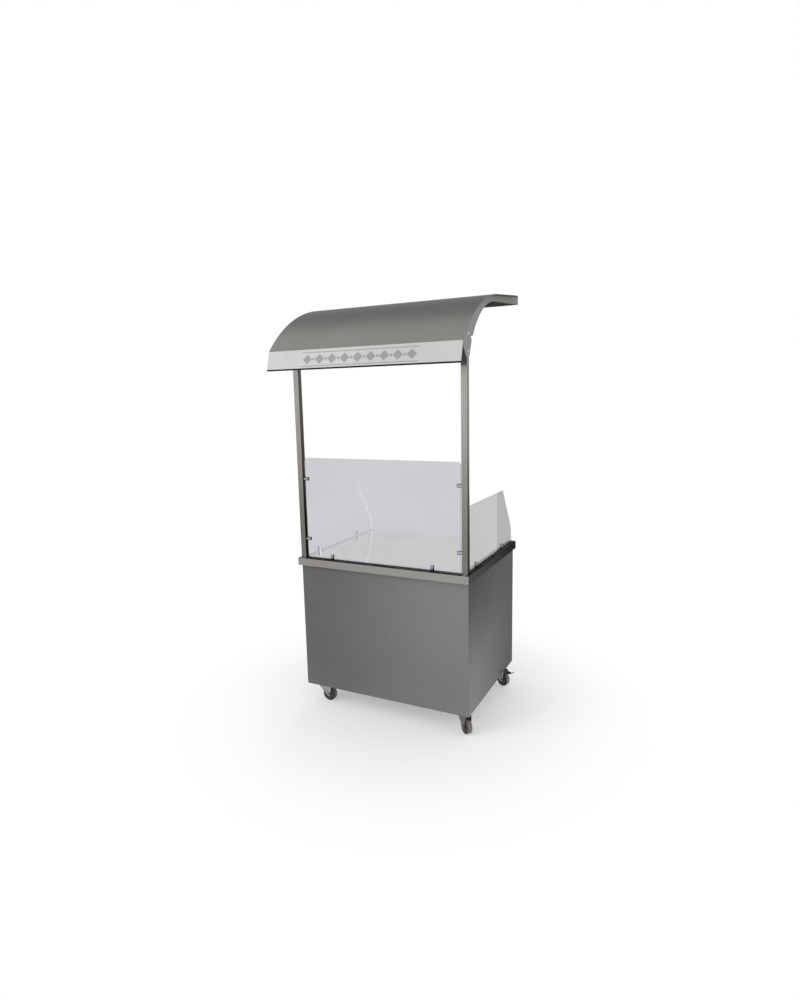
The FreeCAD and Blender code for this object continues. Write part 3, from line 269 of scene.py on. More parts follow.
def sheetMetal(name, values):
    # Steel sheet: brushed lines, wiped patches and dust near the floor over painted light and shade, with a
    # painted glint behind the far left corner.
    material, tree, shader = startMaterial(name, {
        "Specular IOR Level": values["specular"], "Specular Tint": values["edgeTint"]})
    # Painted light and shade: each face's tone follows the way it looks, its height and its place.
    toned = placeGroup(tree, paintedFacingShade, (-900, 500), {
        **{label: values[key] for key, label in toneLabels.items()},
        "Left Share": values["leftShare"], "From Z": values["fromZ"], "To Z": values["toZ"],
        "Canopy Shade From Z": values["canopyZ"], "Canopy Shade To Z": values["canopyZ"] + canopyStep,
        "Top Half": values["topHalf"]})
    top = toned["Top"]
    grain = placeGroup(tree, brushedGrain, (-900, 200), {
        "Stretch": values["stretch"], "Side Stretch": values["sideStretch"], "Contrast": values["contrast"]})
    patches = placeGroup(tree, handlingMarks, (-900, -100), {"Patch Scale": values["patchScale"]})["Patches"]
    dust = placeGroup(tree, lowDust, (-900, -400), {
        "Clean Above": values["cleanAbove"], "Amount": values["dust"]})["Dust"]
    # Painted highlight: parts behind the far left corner are blended towards the glint colour.
    far = placeGroup(tree, farCorner, (-200, 600), {})["Mask"]
    lines = span(tree, grain["Streak"], 1 - values["lineShare"], 1 + values["lineShare"], (-600, 200))
    wiped = span(tree, patches, 1.0, 1 - values["patchShare"], (-600, 0))
    factor = calculate(tree, "MULTIPLY", (-400, 100), lines, wiped)
    shaded = addNode(tree, "ShaderNodeVectorMath", (-200, 300), {0: toned["Colour"], "Scale": factor},
                     operation="SCALE").outputs[0]
    dusty = mixOf(tree, dust, shaded, values["dustColour"], (0, 200))
    glint = span(tree, far, 0.0, values["glintShare"], (0, 600))
    gloss = span(tree, patches, *values["rough"], (-600, -200))
    lined = span(tree, grain["Streak"], -values["roughLines"], values["roughLines"], (-600, -400))
    total = calculate(tree, "ADD", (-300, -250), gloss, lined, clamp=True)
    depth = calculate(tree, "MULTIPLY", (-350, -500), grain["Height"],
                      span(tree, top, 1.0, values["topLines"], (-600, -600)))
    feed(tree, shader, {
        "Base Color": mixOf(tree, glint, dusty, values["glint"], (200, 300)),
        "Metallic": span(tree, top, values["metallic"], values["topMetallic"], (-600, 700)),
        "Roughness": mixOf(tree, top, total, values["topRough"], (-100, -250), "FLOAT"),
        "Normal": bump(tree, depth, values, (-150, -500))})
    return material


def mouldedSurface(name, values):
    # Rubber or plastic: a fine pebbled skin, worn patches and dust, and behind the far left corner a painted pale
    # glow.
    material, tree, shader = startMaterial(name, {
        "Specular IOR Level": values["specular"], "Metallic": 0.0, "Emission Strength": values["paintedGlow"]})
    marks = placeGroup(tree, handlingMarks, (-900, 100), {
        "Patch Scale": values["patchScale"], "Speck Scale": values["speckScale"],
        "Speck Level": values["speckLevel"]})
    dust = placeGroup(tree, lowDust, (-900, -300), {
        "Clean Above": values["cleanAbove"], "Amount": values["dust"]})["Dust"]
    # Painted light: parts behind the far left corner are painted pale and glow by emission.
    far = placeGroup(tree, farCorner, (-350, 500), {"Left Of": values["paintedGlowLeftOf"]})["Mask"]
    worn = mixOf(tree, marks["Patches"], values["dark"], values["light"], (-600, 200))
    specks = span(tree, marks["Specks"], 0.0, values["speckShare"], (-600, -100))
    speckled = mixOf(tree, specks, worn, values["speckColour"], (-350, 200))
    dusty = mixOf(tree, dust, speckled, values["dustColour"], (-150, 200))
    spot = surfacePlace(tree, (-900, -600))["Object"]
    skin = noise(tree, spot, (-650, -600), scale=values["skinScale"], detail=3.0)
    feed(tree, shader, {
        "Base Color": mixOf(tree, far, dusty, values["paintedPale"], (0, 350)),
        "Emission Color": mixOf(tree, far, black, values["paintedPale"], (0, 600)),
        "Roughness": span(tree, marks["Patches"], *values["rough"], (-350, -200)),
        "Normal": bump(tree, skin, values, (-350, -500))})
    return material


# Long brush lines run along one axis: a small number there and large ones across it.
alongX, alongY, alongZ = (3.0, 260.0, 260.0), (260.0, 3.0, 260.0), (260.0, 260.0, 3.0)
# canopyFoot is where the painted shadow under the canopy starts, over canopyStep; leftShare is the strength of the
# painted shade towards the left.
canopyFoot, canopyStep, leftShare, nowhere = 1.85, 0.02, 0.9, 9.0


def tones(low, right=None, **given):
    # Grey levels of painted light and shade for each way that a face can look: what isn't given follows the
    # front's or right's tone.
    levels = {key: tone(*given.get(key, right if right and key.startswith("right") else low))
              for key in toneLabels}
    levels["canopyZ"] = canopyFoot if "canopy" in given else nowhere
    levels["leftShare"] = leftShare if "left" in given else 0.0
    return levels


steelValues = {
    "metallic": 0.85, "topMetallic": 0.85, "specular": 0.5, "edgeTint": (0.3, 0.3, 0.3, 1.0),
    "stretch": alongX, "sideStretch": alongY, "contrast": 1.5, "lineShare": 0.1, "fromZ": 0.0, "toZ": 1.0,
    "patchScale": 2.5, "patchShare": 0.05, "cleanAbove": 0.3, "dust": 0.2, "dustColour": tone(170, 164, 155),
    "rough": (0.3, 0.4), "roughLines": 0.06, "bump": 0.25, "bumpDepth": 0.0004, "topRough": 0.3,
    "topLines": 1.0, "topHalf": nowhere, "glintShare": 0.0, "glint": tone(253, 253, 253),
    # Painted light and shade: right faces darker and darker still towards the rear, up faces lit, down faces
    # shaded.
    **tones((150, 147, 142), high=(152, 149, 144), right=(73, 72, 70), rightRear=(42, 42, 41),
            upward=(190, 189, 187), downward=(60, 59, 57)),
}
worktopValues = {
    **steelValues, "metallic": 0.12, "topMetallic": 0.97, "specular": 0.0, "topHalf": 0.48, "edgeTint": white,
    "topRough": 0.02, "topLines": 0.0,
    # Painted shade: darker towards the left, the right side band fades to black towards the rear, and down faces
    # are shaded.
    **tones((152, 150, 145), left=(142, 139, 136), right=(73, 72, 70), rightRear=(14, 14, 14),
            upward=(252, 252, 251), downward=(60, 59, 57)),
}
postValues = {
    **steelValues, "stretch": alongZ, "sideStretch": alongZ, "fromZ": 0.95, "toZ": 1.75,
    # Painted light and shade: lighter towards the top, a painted shadow under the canopy, right faces dark low
    # down and lit high up, down faces shaded.
    **tones((124, 121, 117), high=(170, 166, 161), canopy=(92, 90, 88), rightLow=(62, 62, 60),
            rightHigh=(158, 156, 152), rightRear=(110, 109, 107), upward=(150, 148, 145), downward=(60, 59, 57)),
}
shadedLeftPostValues = {
    # A darker copy of the post steel in painted shade: its right faces, which look into the cart, are near black.
    **postValues,
    **tones((116, 113, 109), high=(163, 159, 154), rightLow=(14, 14, 13), rightHigh=(88, 86, 83),
            rightRear=(45, 44, 42), upward=(150, 148, 145), downward=(60, 59, 57)),
}
panelValues = {
    **steelValues, "metallic": 0.35, "topMetallic": 0.35, "contrast": 1.2, "lineShare": 0.03, "stretch": alongZ,
    "sideStretch": alongZ, "fromZ": 0.11, "toZ": 0.8, "patchShare": 0.03, "rough": (0.42, 0.5),
    "roughLines": 0.03, "bump": 0.12, "bumpDepth": 0.0002, "topRough": 0.45,
    # Painted light and shade: darker towards the left, right faces darken towards the top in the overhang's shadow
    # and towards the rear, down faces shaded.
    **tones((123, 123, 122), high=(127, 127, 127), left=(96, 96, 96), rightLow=(138, 138, 137),
            rightHigh=(60, 60, 60), rightRear=(72, 72, 72), upward=(120, 120, 119), downward=(60, 60, 60)),
}
roofValues = {
    **panelValues, "stretch": alongX, "sideStretch": alongX, "fromZ": 1.99, "toZ": 2.25,
    # Painted light and shade: darker towards the top of the arch, and the underside in painted shade.
    **tones((134, 133, 129), high=(83, 83, 82), right=(120, 120, 118), rightRear=(112, 112, 110),
            upward=(83, 83, 82), downward=(32, 32, 31)),
}
ribValues = {
    **roofValues, "stretch": alongY, "sideStretch": alongY,
    # Painted light and shade: right faces lit, up faces a little darker, down faces in painted shade.
    **tones((120, 119, 116), high=(115, 114, 112), rightLow=(140, 140, 138), rightHigh=(137, 137, 136),
            rightRear=(122, 121, 116), upward=(105, 105, 103), downward=(32, 32, 31)),
}
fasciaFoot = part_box("fascia")[0][2]
# Painted shade: below these heights the fascia's front is painted near black, where the lower fold lies in shade.
foldFrom, foldTo = 0.0068, 0.0082  # the dark fold ends between these heights above the foot
fasciaValues = {
    **steelValues, "metallic": 0.25, "topMetallic": 0.25, "contrast": 1.2, "lineShare": 0.02, "rough": (0.4, 0.5),
    "fromZ": fasciaFoot + foldFrom, "toZ": fasciaFoot + foldTo,
    # Painted shade: near black below the fold, right and down faces shaded; above the fold the face keeps its own
    # pale tone.
    **tones((24, 24, 23), high=(200, 200, 198), right=(60, 60, 58), upward=(150, 150, 148), downward=(30, 30, 29)),
}
frameValues = {**panelValues, "stretch": alongX, "sideStretch": alongY}
zincValues = {
    **steelValues, "metallic": 1.0, "topMetallic": 1.0, "patchScale": 30.0, "patchShare": 0.25, "cleanAbove": 0.1,
    "dust": 0.4, "rough": (0.24, 0.42), "bump": 0.1, "bumpDepth": 0.0002,
    # Painted shade: right faces darker, darker still towards the rear, and down faces shaded.
    **tones((162, 166, 170), right=(88, 89, 91), rightRear=(74, 75, 76), downward=(70, 71, 72)),
}
# Pedals are darker than the forks; their right and down faces carry painted shade.
pedalValues = {**zincValues, **tones((104, 106, 102), right=(70, 71, 70), downward=(60, 61, 60))}
chromeValues = {
    **steelValues, "metallic": 1.0, "topMetallic": 1.0, "contrast": 0.6, "lineShare": 0.03, "patchScale": 60.0,
    "patchShare": 0.1, "rough": (0.08, 0.16), "roughLines": 0.02, "bump": 0.03, "bumpDepth": 0.0001, "dust": 0.0,
    # Painted shade: right faces darker, also towards the rear.
    **tones((172, 172, 174), right=(84, 84, 86), rightRear=(96, 96, 98)),
}
# Painted highlight: clamps behind the far left corner are painted near white.
clampGlintValues = {**chromeValues, "glintShare": 1.0}
# Painted highlight: the domes' right faces are painted bright, their other faces darker.
boltValues = {**chromeValues, **tones((120, 120, 121), right=(196, 197, 199))}
studValues = {
    **panelValues, "rough": (0.3, 0.38),
    # Painted shade: darker towards the left and on down faces.
    **tones((134, 134, 133), high=(136, 136, 135), left=(111, 111, 111), upward=(136, 136, 135),
            downward=(92, 92, 91)),
}
ornamentValues = {**fasciaValues, "fromZ": 1.0, "toZ": 1.1, **tones((158, 158, 156))}

sealValues = {
    "specular": 0.15, "dark": tone(8, 8, 8), "light": tone(17, 17, 17), "patchScale": 14.0, "speckScale": 220.0,
    "speckLevel": 0.6, "speckShare": 0.15, "speckColour": tone(50, 48, 46), "cleanAbove": 0.2, "dust": 0.1,
    "dustColour": tone(120, 116, 110), "rough": (0.55, 0.75), "skinScale": 900.0, "bump": 0.3,
    # Painted light: the seal behind the far left corner is painted near white and glows.
    "bumpDepth": 0.0003, "paintedGlowLeftOf": -0.46, "paintedPale": tone(246, 246, 247), "paintedGlow": 0.2,
}
plasticValues = {
    **sealValues, "specular": 0.45, "dark": tone(40, 40, 42), "light": tone(56, 56, 58), "patchScale": 45.0,
    "cleanAbove": 0.1, "dust": 0.3, "rough": (0.4, 0.6), "paintedGlowLeftOf": -nowhere,
}
hubValues = {**plasticValues, "dark": tone(62, 61, 59), "light": tone(84, 83, 80)}
wallValues = {
    **plasticValues, "dark": tone(18, 18, 17), "light": tone(30, 30, 28), "dust": 0.1,
    "dustColour": tone(90, 86, 80), "rough": (0.6, 0.8),
}
treadValues = {
    **wallValues, "dark": tone(104, 98, 91), "light": tone(134, 128, 120), "patchScale": 60.0,
    "speckColour": tone(82, 76, 70), "speckShare": 0.6, "dust": 0.3, "dustColour": tone(150, 143, 134),
    "skinScale": 700.0, "bump": 0.5,
}
capValues = {**plasticValues, "dark": tone(90, 90, 90), "light": tone(112, 112, 111)}
padValues = {**plasticValues, "dark": tone(140, 142, 144), "light": tone(165, 167, 169), "dust": 0.0}

metals = {
    "brushed_steel": ("brushedSteel", steelValues), "worktop_steel": ("worktopSteel", worktopValues),
    "post_steel": ("postSteel", postValues), "shaded_left_post_steel": ("leftPostSteel", shadedLeftPostValues),
    "panel_steel": ("panelSteel", panelValues), "roof_steel": ("roofSteel", roofValues),
    "rib_steel": ("ribSteel", ribValues), "fascia_steel": ("fasciaSteel", fasciaValues),
    "frame_steel": ("frameSteel", frameValues), "zinc": ("zincPlate", zincValues),
    "pedal_zinc": ("pedalZinc", pedalValues), "chrome": ("polishedChrome", chromeValues),
    "clamp_chrome_glint": ("clampChromeGlint", clampGlintValues), "bolt_chrome": ("boltChrome", boltValues),
    "stud_steel": ("studSteel", studValues), "ornament_steel": ("ornamentSteel", ornamentValues),
}
mouldings = {
    "seal_rubber": ("sealRubber", sealValues), "pad_rubber": ("padRubber", padValues),
    "wheel_plastic": ("wheelPlastic", plasticValues), "wheel_hub": ("wheelHub", hubValues),
    "tyre_rubber": ("tyreTread", treadValues), "tyre_wall": ("tyreWall", wallValues),
    "hub_cap": ("hubCap", capValues),
}
materials = {slot: sheetMetal(*pair) for slot, pair in metals.items()}
materials.update({slot: mouldedSurface(*pair) for slot, pair in mouldings.items()})


def glassMaterial(name, values):
    # A grey pane: the tint counts once for each look through, and lamps shine through it. Painted shade darkens it
    # beyond a line, and a painted glow lights the upright edges behind the far corner.
    material, tree, shader = startMaterial(name, {
        "Transmission Weight": values["transmission"], "IOR": values["bending"], "Metallic": 0.0,
        "Emission Strength": values["glow"]})
    place = surfacePlace(tree, (-1300, 500))
    patches = placeGroup(tree, handlingMarks, (-1100, 0), {"Patch Scale": values["patchScale"]})["Patches"]
    tint = mixOf(tree, patches, values["clear"], values["wiped"], (-800, 200))
    turned = addNode(tree, "ShaderNodeMapping", (-1100, 500), {
        0: place["Object"], "Rotation": (0.0, math.radians(values["slant"]), 0.0),
        "Scale": values["streaks"]}).outputs[0]
    veil = span(tree, noise(tree, turned, (-900, 500), scale=1.0, detail=3.0), 0.0, values["veilShare"],
                (-700, 500))
    veiled = mixOf(tree, veil, tint, values["veil"], (-550, 300))
    # Painted shade: beyond a line across the pane its tint turns darker, where the far pane shows through.
    step = softStep(tree, axesOf(tree, place["Object"], (-1100, 800))["Y"], values["stepFrom"],
                    values["stepFrom"] + values["stepWidth"], (-800, 800))
    stepped = mixOf(tree, step, veiled, values["shadeBeyondStep"], (-400, 400))
    path = addNode(tree, "ShaderNodeLightPath", (-600, -400)).outputs
    # Painted glow: the upright edges behind the far corner shine by emission.
    edge = calculate(tree, "ABSOLUTE", (-500, -800), axesOf(tree, place["Normal"], (-600, -800))["Y"])
    far = placeGroup(tree, farCorner, (-600, -950), values["glowCorner"])["Mask"]
    rearward = calculate(tree, "MULTIPLY", (-300, -800),
                         softStep(tree, edge, *values["glowFacing"], (-400, -900)), far)
    feed(tree, shader, {
        "Base Color": mixOf(tree, path["Transmission Depth"], stepped, white, (-200, 200)),
        "Roughness": span(tree, patches, *values["rough"], (-600, -150)),
        "Emission Color": mixOf(tree, rearward, black, white, (-200, -700))})
    passed = calculate(tree, "MAXIMUM", (-300, -400), path["Is Shadow Ray"], path["Is Diffuse Ray"])
    clear = addNode(tree, "ShaderNodeBsdfTransparent", (0, -300), {"Color": values["lampTint"]})
    mix = addNode(tree, "ShaderNodeMixShader", (300, 0), {0: passed, 1: shader.outputs[0], 2: clear.outputs[0]})
    feed(tree, tree.nodes["Material Output"], {"Surface": mix.outputs[0]})
    return material


glassValues = {
    "transmission": 1.0, "bending": 1.5, "patchScale": 2.2, "clear": tone(158, 159, 164),
    "wiped": tone(150, 151, 156), "rough": (0.0, 0.02), "slant": 28.0, "streaks": (0.5, 1.0, 7.0),
    "veilShare": 0.5, "veil": tone(172, 173, 179), "stepFrom": nowhere, "stepWidth": 0.01,
    "shadeBeyondStep": tone(150, 150, 152), "lampTint": (0.86, 0.87, 0.88, 1.0), "glow": 0.0,
    "glowCorner": {"Left Of": -0.3, "Behind": 0.0}, "glowFacing": (0.5, 0.7),
}
# A darker copy of the pane glass in painted shade, with a darker painted zone beyond a line across it.
shadedRightGlassValues = {
    **glassValues, "clear": tone(126, 126, 125), "wiped": tone(124, 124, 123), "veilShare": 0.1,
    "stepFrom": 0.168, "shadeBeyondStep": tone(86, 86, 89),
}
# Painted glow: the ground edges behind the far corner glow by emission.
glassEdgeValues = {
    **glassValues, "transmission": 0.0, "clear": tone(226, 232, 231), "wiped": tone(206, 214, 213),
    "patchScale": 40.0, "rough": (0.25, 0.4), "veilShare": 0.0, "glow": 0.95,
}
glassFace = glassMaterial("paneGlass", glassValues)
shadedRightGlassFace = glassMaterial("rightPaneGlass", shadedRightGlassValues)
glassEdge = glassMaterial("groundGlassEdge", glassEdgeValues)
materials["glass"] = glassFace
print("materials made:", len(bpy.data.materials))


def dress(item, material):
    item.data.materials.clear()
    item.data.materials.append(material)


edgeValues = {"sheet": 0.0006, "tube": 0.0018, "small": 0.0004, "angle": 35}


def soften(item, width, segments=2):
    # Rounded folds and broken edges.
    modifier = item.modifiers.new("edgeRound", "BEVEL")
    modifier.width = width
    modifier.segments = segments
    modifier.limit_method = "ANGLE"
    modifier.angle_limit = math.radians(edgeValues["angle"])
    modifier.harden_normals = True


slotOf = {part["node"]: part["material_slot"] for part in frame["record"]["subparts"]}
ownMaterial = {"left_post": "shaded_left_post_steel", "right_post": "post_steel", "left_rib": "rib_steel",
               "right_rib": "rib_steel", "worktop": "worktop_steel", "glass_clamps": "clamp_chrome_glint",
               "rear_left_brake_pedal": "pedal_zinc", "rear_right_brake_pedal": "pedal_zinc"}
tubeNodes = ("left_post", "right_post", "front_crossbar")
smallNodes = ("glass_clamps", "clamp_pads", "left_handle", "right_handle", "caster_plates")
for name, item in nodes.items():
    dress(item, materials[ownMaterial.get(name, slotOf[name])])
    kind = "tube" if name in tubeNodes else "small" if name in smallNodes else "sheet"
    soften(item, edgeValues[kind])
print("frame nodes dressed")


def makePiece(name, build, material, body):
    # Run a bmesh builder and hang the result on its body.
    shape = bmesh.new()
    build(shape)
    bmesh.ops.recalc_face_normals(shape, faces=shape.faces[:])
    data = bpy.data.meshes.new(name)
    shape.to_mesh(data)
    shape.free()
    item = bpy.data.objects.new(name, data)
    scene.collection.objects.link(item)
    data.materials.append(material)
    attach(item, body)
    return item


def smoothShade(item, angle=edgeValues["angle"]):
    for face in item.data.polygons:
        face.use_smooth = True
    item.data.set_sharp_from_angle(angle=math.radians(angle))


def ringFaces(shape, lower, upper):
    # The wall between two rings of points.
    faces = []
    for index in range(len(lower)):
        after = (index + 1) % len(lower)
        faces.append(shape.faces.new((lower[index], lower[after], upper[after], upper[index])))
    return faces


def spokeOf(axis, angle):
    first = axis.orthogonal().normalized()
    return first * math.cos(angle) + axis.cross(first) * math.sin(angle)


def lathe(shape, profile, centre, axis, steps):
    # Turn (place along the axis, radius) round the axis through centre.
    direction = axis.normalized()
    spokes = [spokeOf(direction, 2 * math.pi * step / steps) for step in range(steps)]
    rings = [[shape.verts.new(centre + direction * along + spoke * radius) for spoke in spokes]
             for along, radius in profile]
    for lower, upper in zip(rings, rings[1:]):
        ringFaces(shape, lower, upper)
    return rings


def closedLathe(shape, profile, centre, axis, steps):
    rings = lathe(shape, profile, centre, axis, steps)
    ringFaces(shape, rings[-1], rings[0])


def cappedLathe(shape, profile, centre, axis, steps):
    rings = lathe(shape, profile, centre, axis, steps)
    shape.faces.new(rings[0])
    shape.faces.new(rings[-1])


sunk = 0.0002  # small heads start this far inside the sheet


def domeProfile(radius, rise, shares):
    # A shallow dome: its sunk foot, then rings at shares of its radius.
    sphere = (radius ** 2 + rise ** 2) / (2 * rise)
    return [(-sunk, radius)] + [
        (math.sqrt(sphere ** 2 - (radius * share) ** 2) - sphere + rise, radius * share) for share in shares]


# Camera: found from the photo's straight edges, given from the middle of the worktop.
cameraValues = {"place": (1.5252, -3.1750, 1.7224), "azimuth": 26.594, "pitch": -9.332, "roll": -1.247,
                "lens": 22.606, "sensor": 36.0}
worktopLow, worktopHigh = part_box("worktop")
middleY = (worktopLow.y + worktopHigh.y) / 2


def makeCamera(values):
    turn, pitch, roll = (math.radians(values[key]) for key in ("azimuth", "pitch", "roll"))
    forward = Vector((-math.sin(turn) * math.cos(pitch), math.cos(turn) * math.cos(pitch), math.sin(pitch)))
    right = forward.cross(Vector((0, 0, 1))).normalized()
    up = right.cross(forward)
    right, up = right * math.cos(roll) + up * math.sin(roll), up * math.cos(roll) - right * math.sin(roll)
    data = bpy.data.cameras.new("photoCamera")
    data.lens = values["lens"]
    data.sensor_width = values["sensor"]
    camera = bpy.data.objects.new("photoCamera", data)
    camera.matrix_world = Matrix.Translation(Vector(values["place"]) + Vector((0, middleY, 0))) @ Matrix(
        (right, up, -forward)).transposed().to_4x4()
    scene.collection.objects.link(camera)
    scene.camera = camera


makeCamera(cameraValues)
print("camera placed")


# Low domes pressed into the front panel: rows counted from the middle, columns from the side.
studPiece = {"pitch": 0.055, "columns": 17, "radius": 0.0048, "rise": 0.0016, "steps": 16, "rings": 4, "flat": 0.5}
studRows = ((7, 8), (0, 4, 8), (0, 3, 4), (0, 2, 3), (0, 2, 3, 6, 7), (0, 2, 3, 4, 5, 6), (0, 2, 3, 4, 5))


def studPlaces():
    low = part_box("front_panel")[0]
    middleZ = (low.z + worktopLow.z) / 2
    last = studPiece["columns"] - 1
    places = set()
    for row, columns in enumerate(studRows):
        for column in columns:
            for across in (column, last - column):
                for up in (row, -row):
                    places.add((across - last // 2, up))
    return [Vector((across * studPiece["pitch"], low.y, middleZ + up * studPiece["pitch"]))
            for across, up in sorted(places)]


def buildStuds(shape):
    rings = studPiece["rings"]
    profile = domeProfile(studPiece["radius"], studPiece["rise"],
                          [1 - ring / (rings + studPiece["flat"]) for ring in range(1, rings + 1)])
    for place in studPlaces():
        cappedLathe(shape, profile, place, Vector((0, -1, 0)), studPiece["steps"])


studs = makePiece("panelStuds", buildStuds, materials["stud_steel"], "cart")
smoothShade(studs)
print("studs:", len(studPlaces()))


# A plain ornament band on the fascia: pointed lozenges between two thin lines, with round studs.
bandValues = {"halfWidth": 0.32, "count": 9, "lozenge": (0.026, 0.024), "dot": 0.006, "dotTurn": 20,
              "lineGap": 0.034, "lineHeight": 0.003, "proud": 0.0008, "lean": 15.0, "middleShare": 0.5,
              "slant": 0.103, "edge": 0.0003}


def buildBand(shape):
    # Placed from the fascia's bottom front corner, along the way up its face and the way out of it.
    v = bandValues
    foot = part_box("fascia")[0]
    lean = math.radians(v["lean"])
    up = Vector((0, math.sin(lean), math.cos(lean)))
    out = Vector((0, -math.cos(lean), math.sin(lean)))
    middle = Vector((0, foot.y, foot.z)) + up * v["slant"] * v["middleShare"]
    along = Vector((1, 0, 0))

    def plate(outline):
        lower, upper = [
            [shape.verts.new(middle + along * x + up * z + out * v["proud"] * side) for x, z in outline]
            for side in (-1, 1)]
        shape.faces.new(lower)
        shape.faces.new(upper)
        ringFaces(shape, lower, upper)

    wide, tall = v["lozenge"]
    step = 2 * v["halfWidth"] / v["count"]
    turns = [math.radians(angle) for angle in range(0, 360, v["dotTurn"])]
    for index in range(v["count"]):
        centre = (index - (v["count"] - 1) / 2) * step
        plate([(centre - wide, 0), (centre, -tall), (centre + wide, 0), (centre, tall)])
        if index:
            plate([(centre - step / 2 + v["dot"] * math.cos(turn), v["dot"] * math.sin(turn)) for turn in turns])
    half, thick = v["halfWidth"], v["lineHeight"] / 2
    for level in (-v["lineGap"], v["lineGap"]):
        plate([(-half, level - thick), (half, level - thick), (half, level + thick), (-half, level + thick)])


band = makePiece("fasciaBand", buildBand, materials["ornament_steel"], "cart")
soften(band, bandValues["edge"], 1)
print("fascia band made")


# Glass panes, built anew with rounded corners and ground edges.
paneValues = {"corner": 0.012, "frontCorner": 0.018, "lowCorner": 0.003, "steps": 6, "chamfer": 0.0008,
              "near": 0.001, "underside": -0.9}


def roundedOutline(points, radii, steps):
    # Replace each corner of a plane outline by an arc.
    outline = []
    for index, point in enumerate(points):
        before = (points[index - 1] - point).normalized()
        after = (points[(index + 1) % len(points)] - point).normalized()
        half = before.angle(after) / 2
        reach = radii[index] / math.tan(half)
        centre = point + (before + after).normalized() * (radii[index] / math.sin(half))
        start = point + before * reach - centre
        end = point + after * reach - centre
        sweep = start.angle_signed(end)
        for step in range(steps + 1):
            angle = -sweep * step / steps
            outline.append(centre + Vector((
                start.x * math.cos(angle) - start.y * math.sin(angle),
                start.x * math.sin(angle) + start.y * math.cos(angle))))
    return outline


def makePane(name, node, outline, normalAxis, face=glassFace):
    low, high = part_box(node)
    start, end = low[normalAxis], high[normalAxis]
    chamfer = paneValues["chamfer"]
    middle = sum(outline, Vector((0, 0))) / len(outline)

    def point(flat, depth):
        return Vector((flat.x, depth, flat.y)) if normalAxis == 1 else Vector((depth, flat.x, flat.y))

    def build(shape):
        rings = []
        for depth, inset in ((start, chamfer), (start + chamfer, 0), (end - chamfer, 0), (end, chamfer)):
            ring = []
            for flat in outline:
                toMiddle = (middle - flat).normalized()
                ring.append(shape.verts.new(point(flat + toMiddle * inset, depth)))
            rings.append(ring)
        shape.faces.new(rings[0])
        shape.faces.new(rings[-1])
        for lower, upper in zip(rings, rings[1:]):
            for wall in ringFaces(shape, lower, upper):
                wall.material_index = 1

    pane = makePiece(name, build, face, "cart")
    pane.data.materials.append(glassEdge)
    pane.data.materials.append(materials["seal_rubber"])
    for part in pane.data.polygons:
        if part.normal.z < paneValues["underside"]:
            part.material_index = 2
    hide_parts(node)
    return pane


def makePanes():
    low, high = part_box("front_glass")
    corner, steps = paneValues["frontCorner"], paneValues["steps"]
    front = [Vector((x, z)) for x, z in ((low.x, low.z), (high.x, low.z), (high.x, high.z), (low.x, high.z))]
    small = paneValues["lowCorner"]
    makePane("frontPane", "front_glass", roundedOutline(front, (small, small, corner, corner), steps), 1)
    for side in ("left", "right"):
        node = side + "_glass"
        low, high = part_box(node)
        spots = sorted({(round(vertex.co.y, 5), round(vertex.co.z, 5)) for vertex in nodes[node].data.vertices})
        rear = [spot for spot in spots if spot[0] > low.y + paneValues["near"]]
        foot = min(rear, key=lambda spot: spot[1])
        top = max(rear, key=lambda spot: spot[1])
        bend = [spot for spot in rear if spot not in (foot, top)][0]
        outline = [Vector((low.y, low.z)), Vector(foot), Vector(bend), Vector(top), Vector((low.y, high.z))]
        radii = (small, small) + 3 * (paneValues["corner"],)
        face = shadedRightGlassFace if side == "right" else glassFace
        makePane(side + "Pane", node, roundedOutline(outline, radii, steps), 0, face)


makePanes()
print("panes made")


# Caster wheels: a rubber tyre with round shoulders on a ribbed plastic centre with a hub cap.
wheelValues = {"rimRadius": 0.0275, "tyreRadius": 0.04, "halfWidth": 0.015, "shoulder": 0.005, "steps": 64,
               "bore": 0.0041, "boss": 0.0105, "bossHalf": 0.0156, "webHalf": 0.0105, "ringInner": 0.0245,
               "ringHalf": 0.0143, "ribs": 8, "ribHalf": 0.0012, "lip": 0.0006, "wallShare": 0.45, "arcSteps": 6}


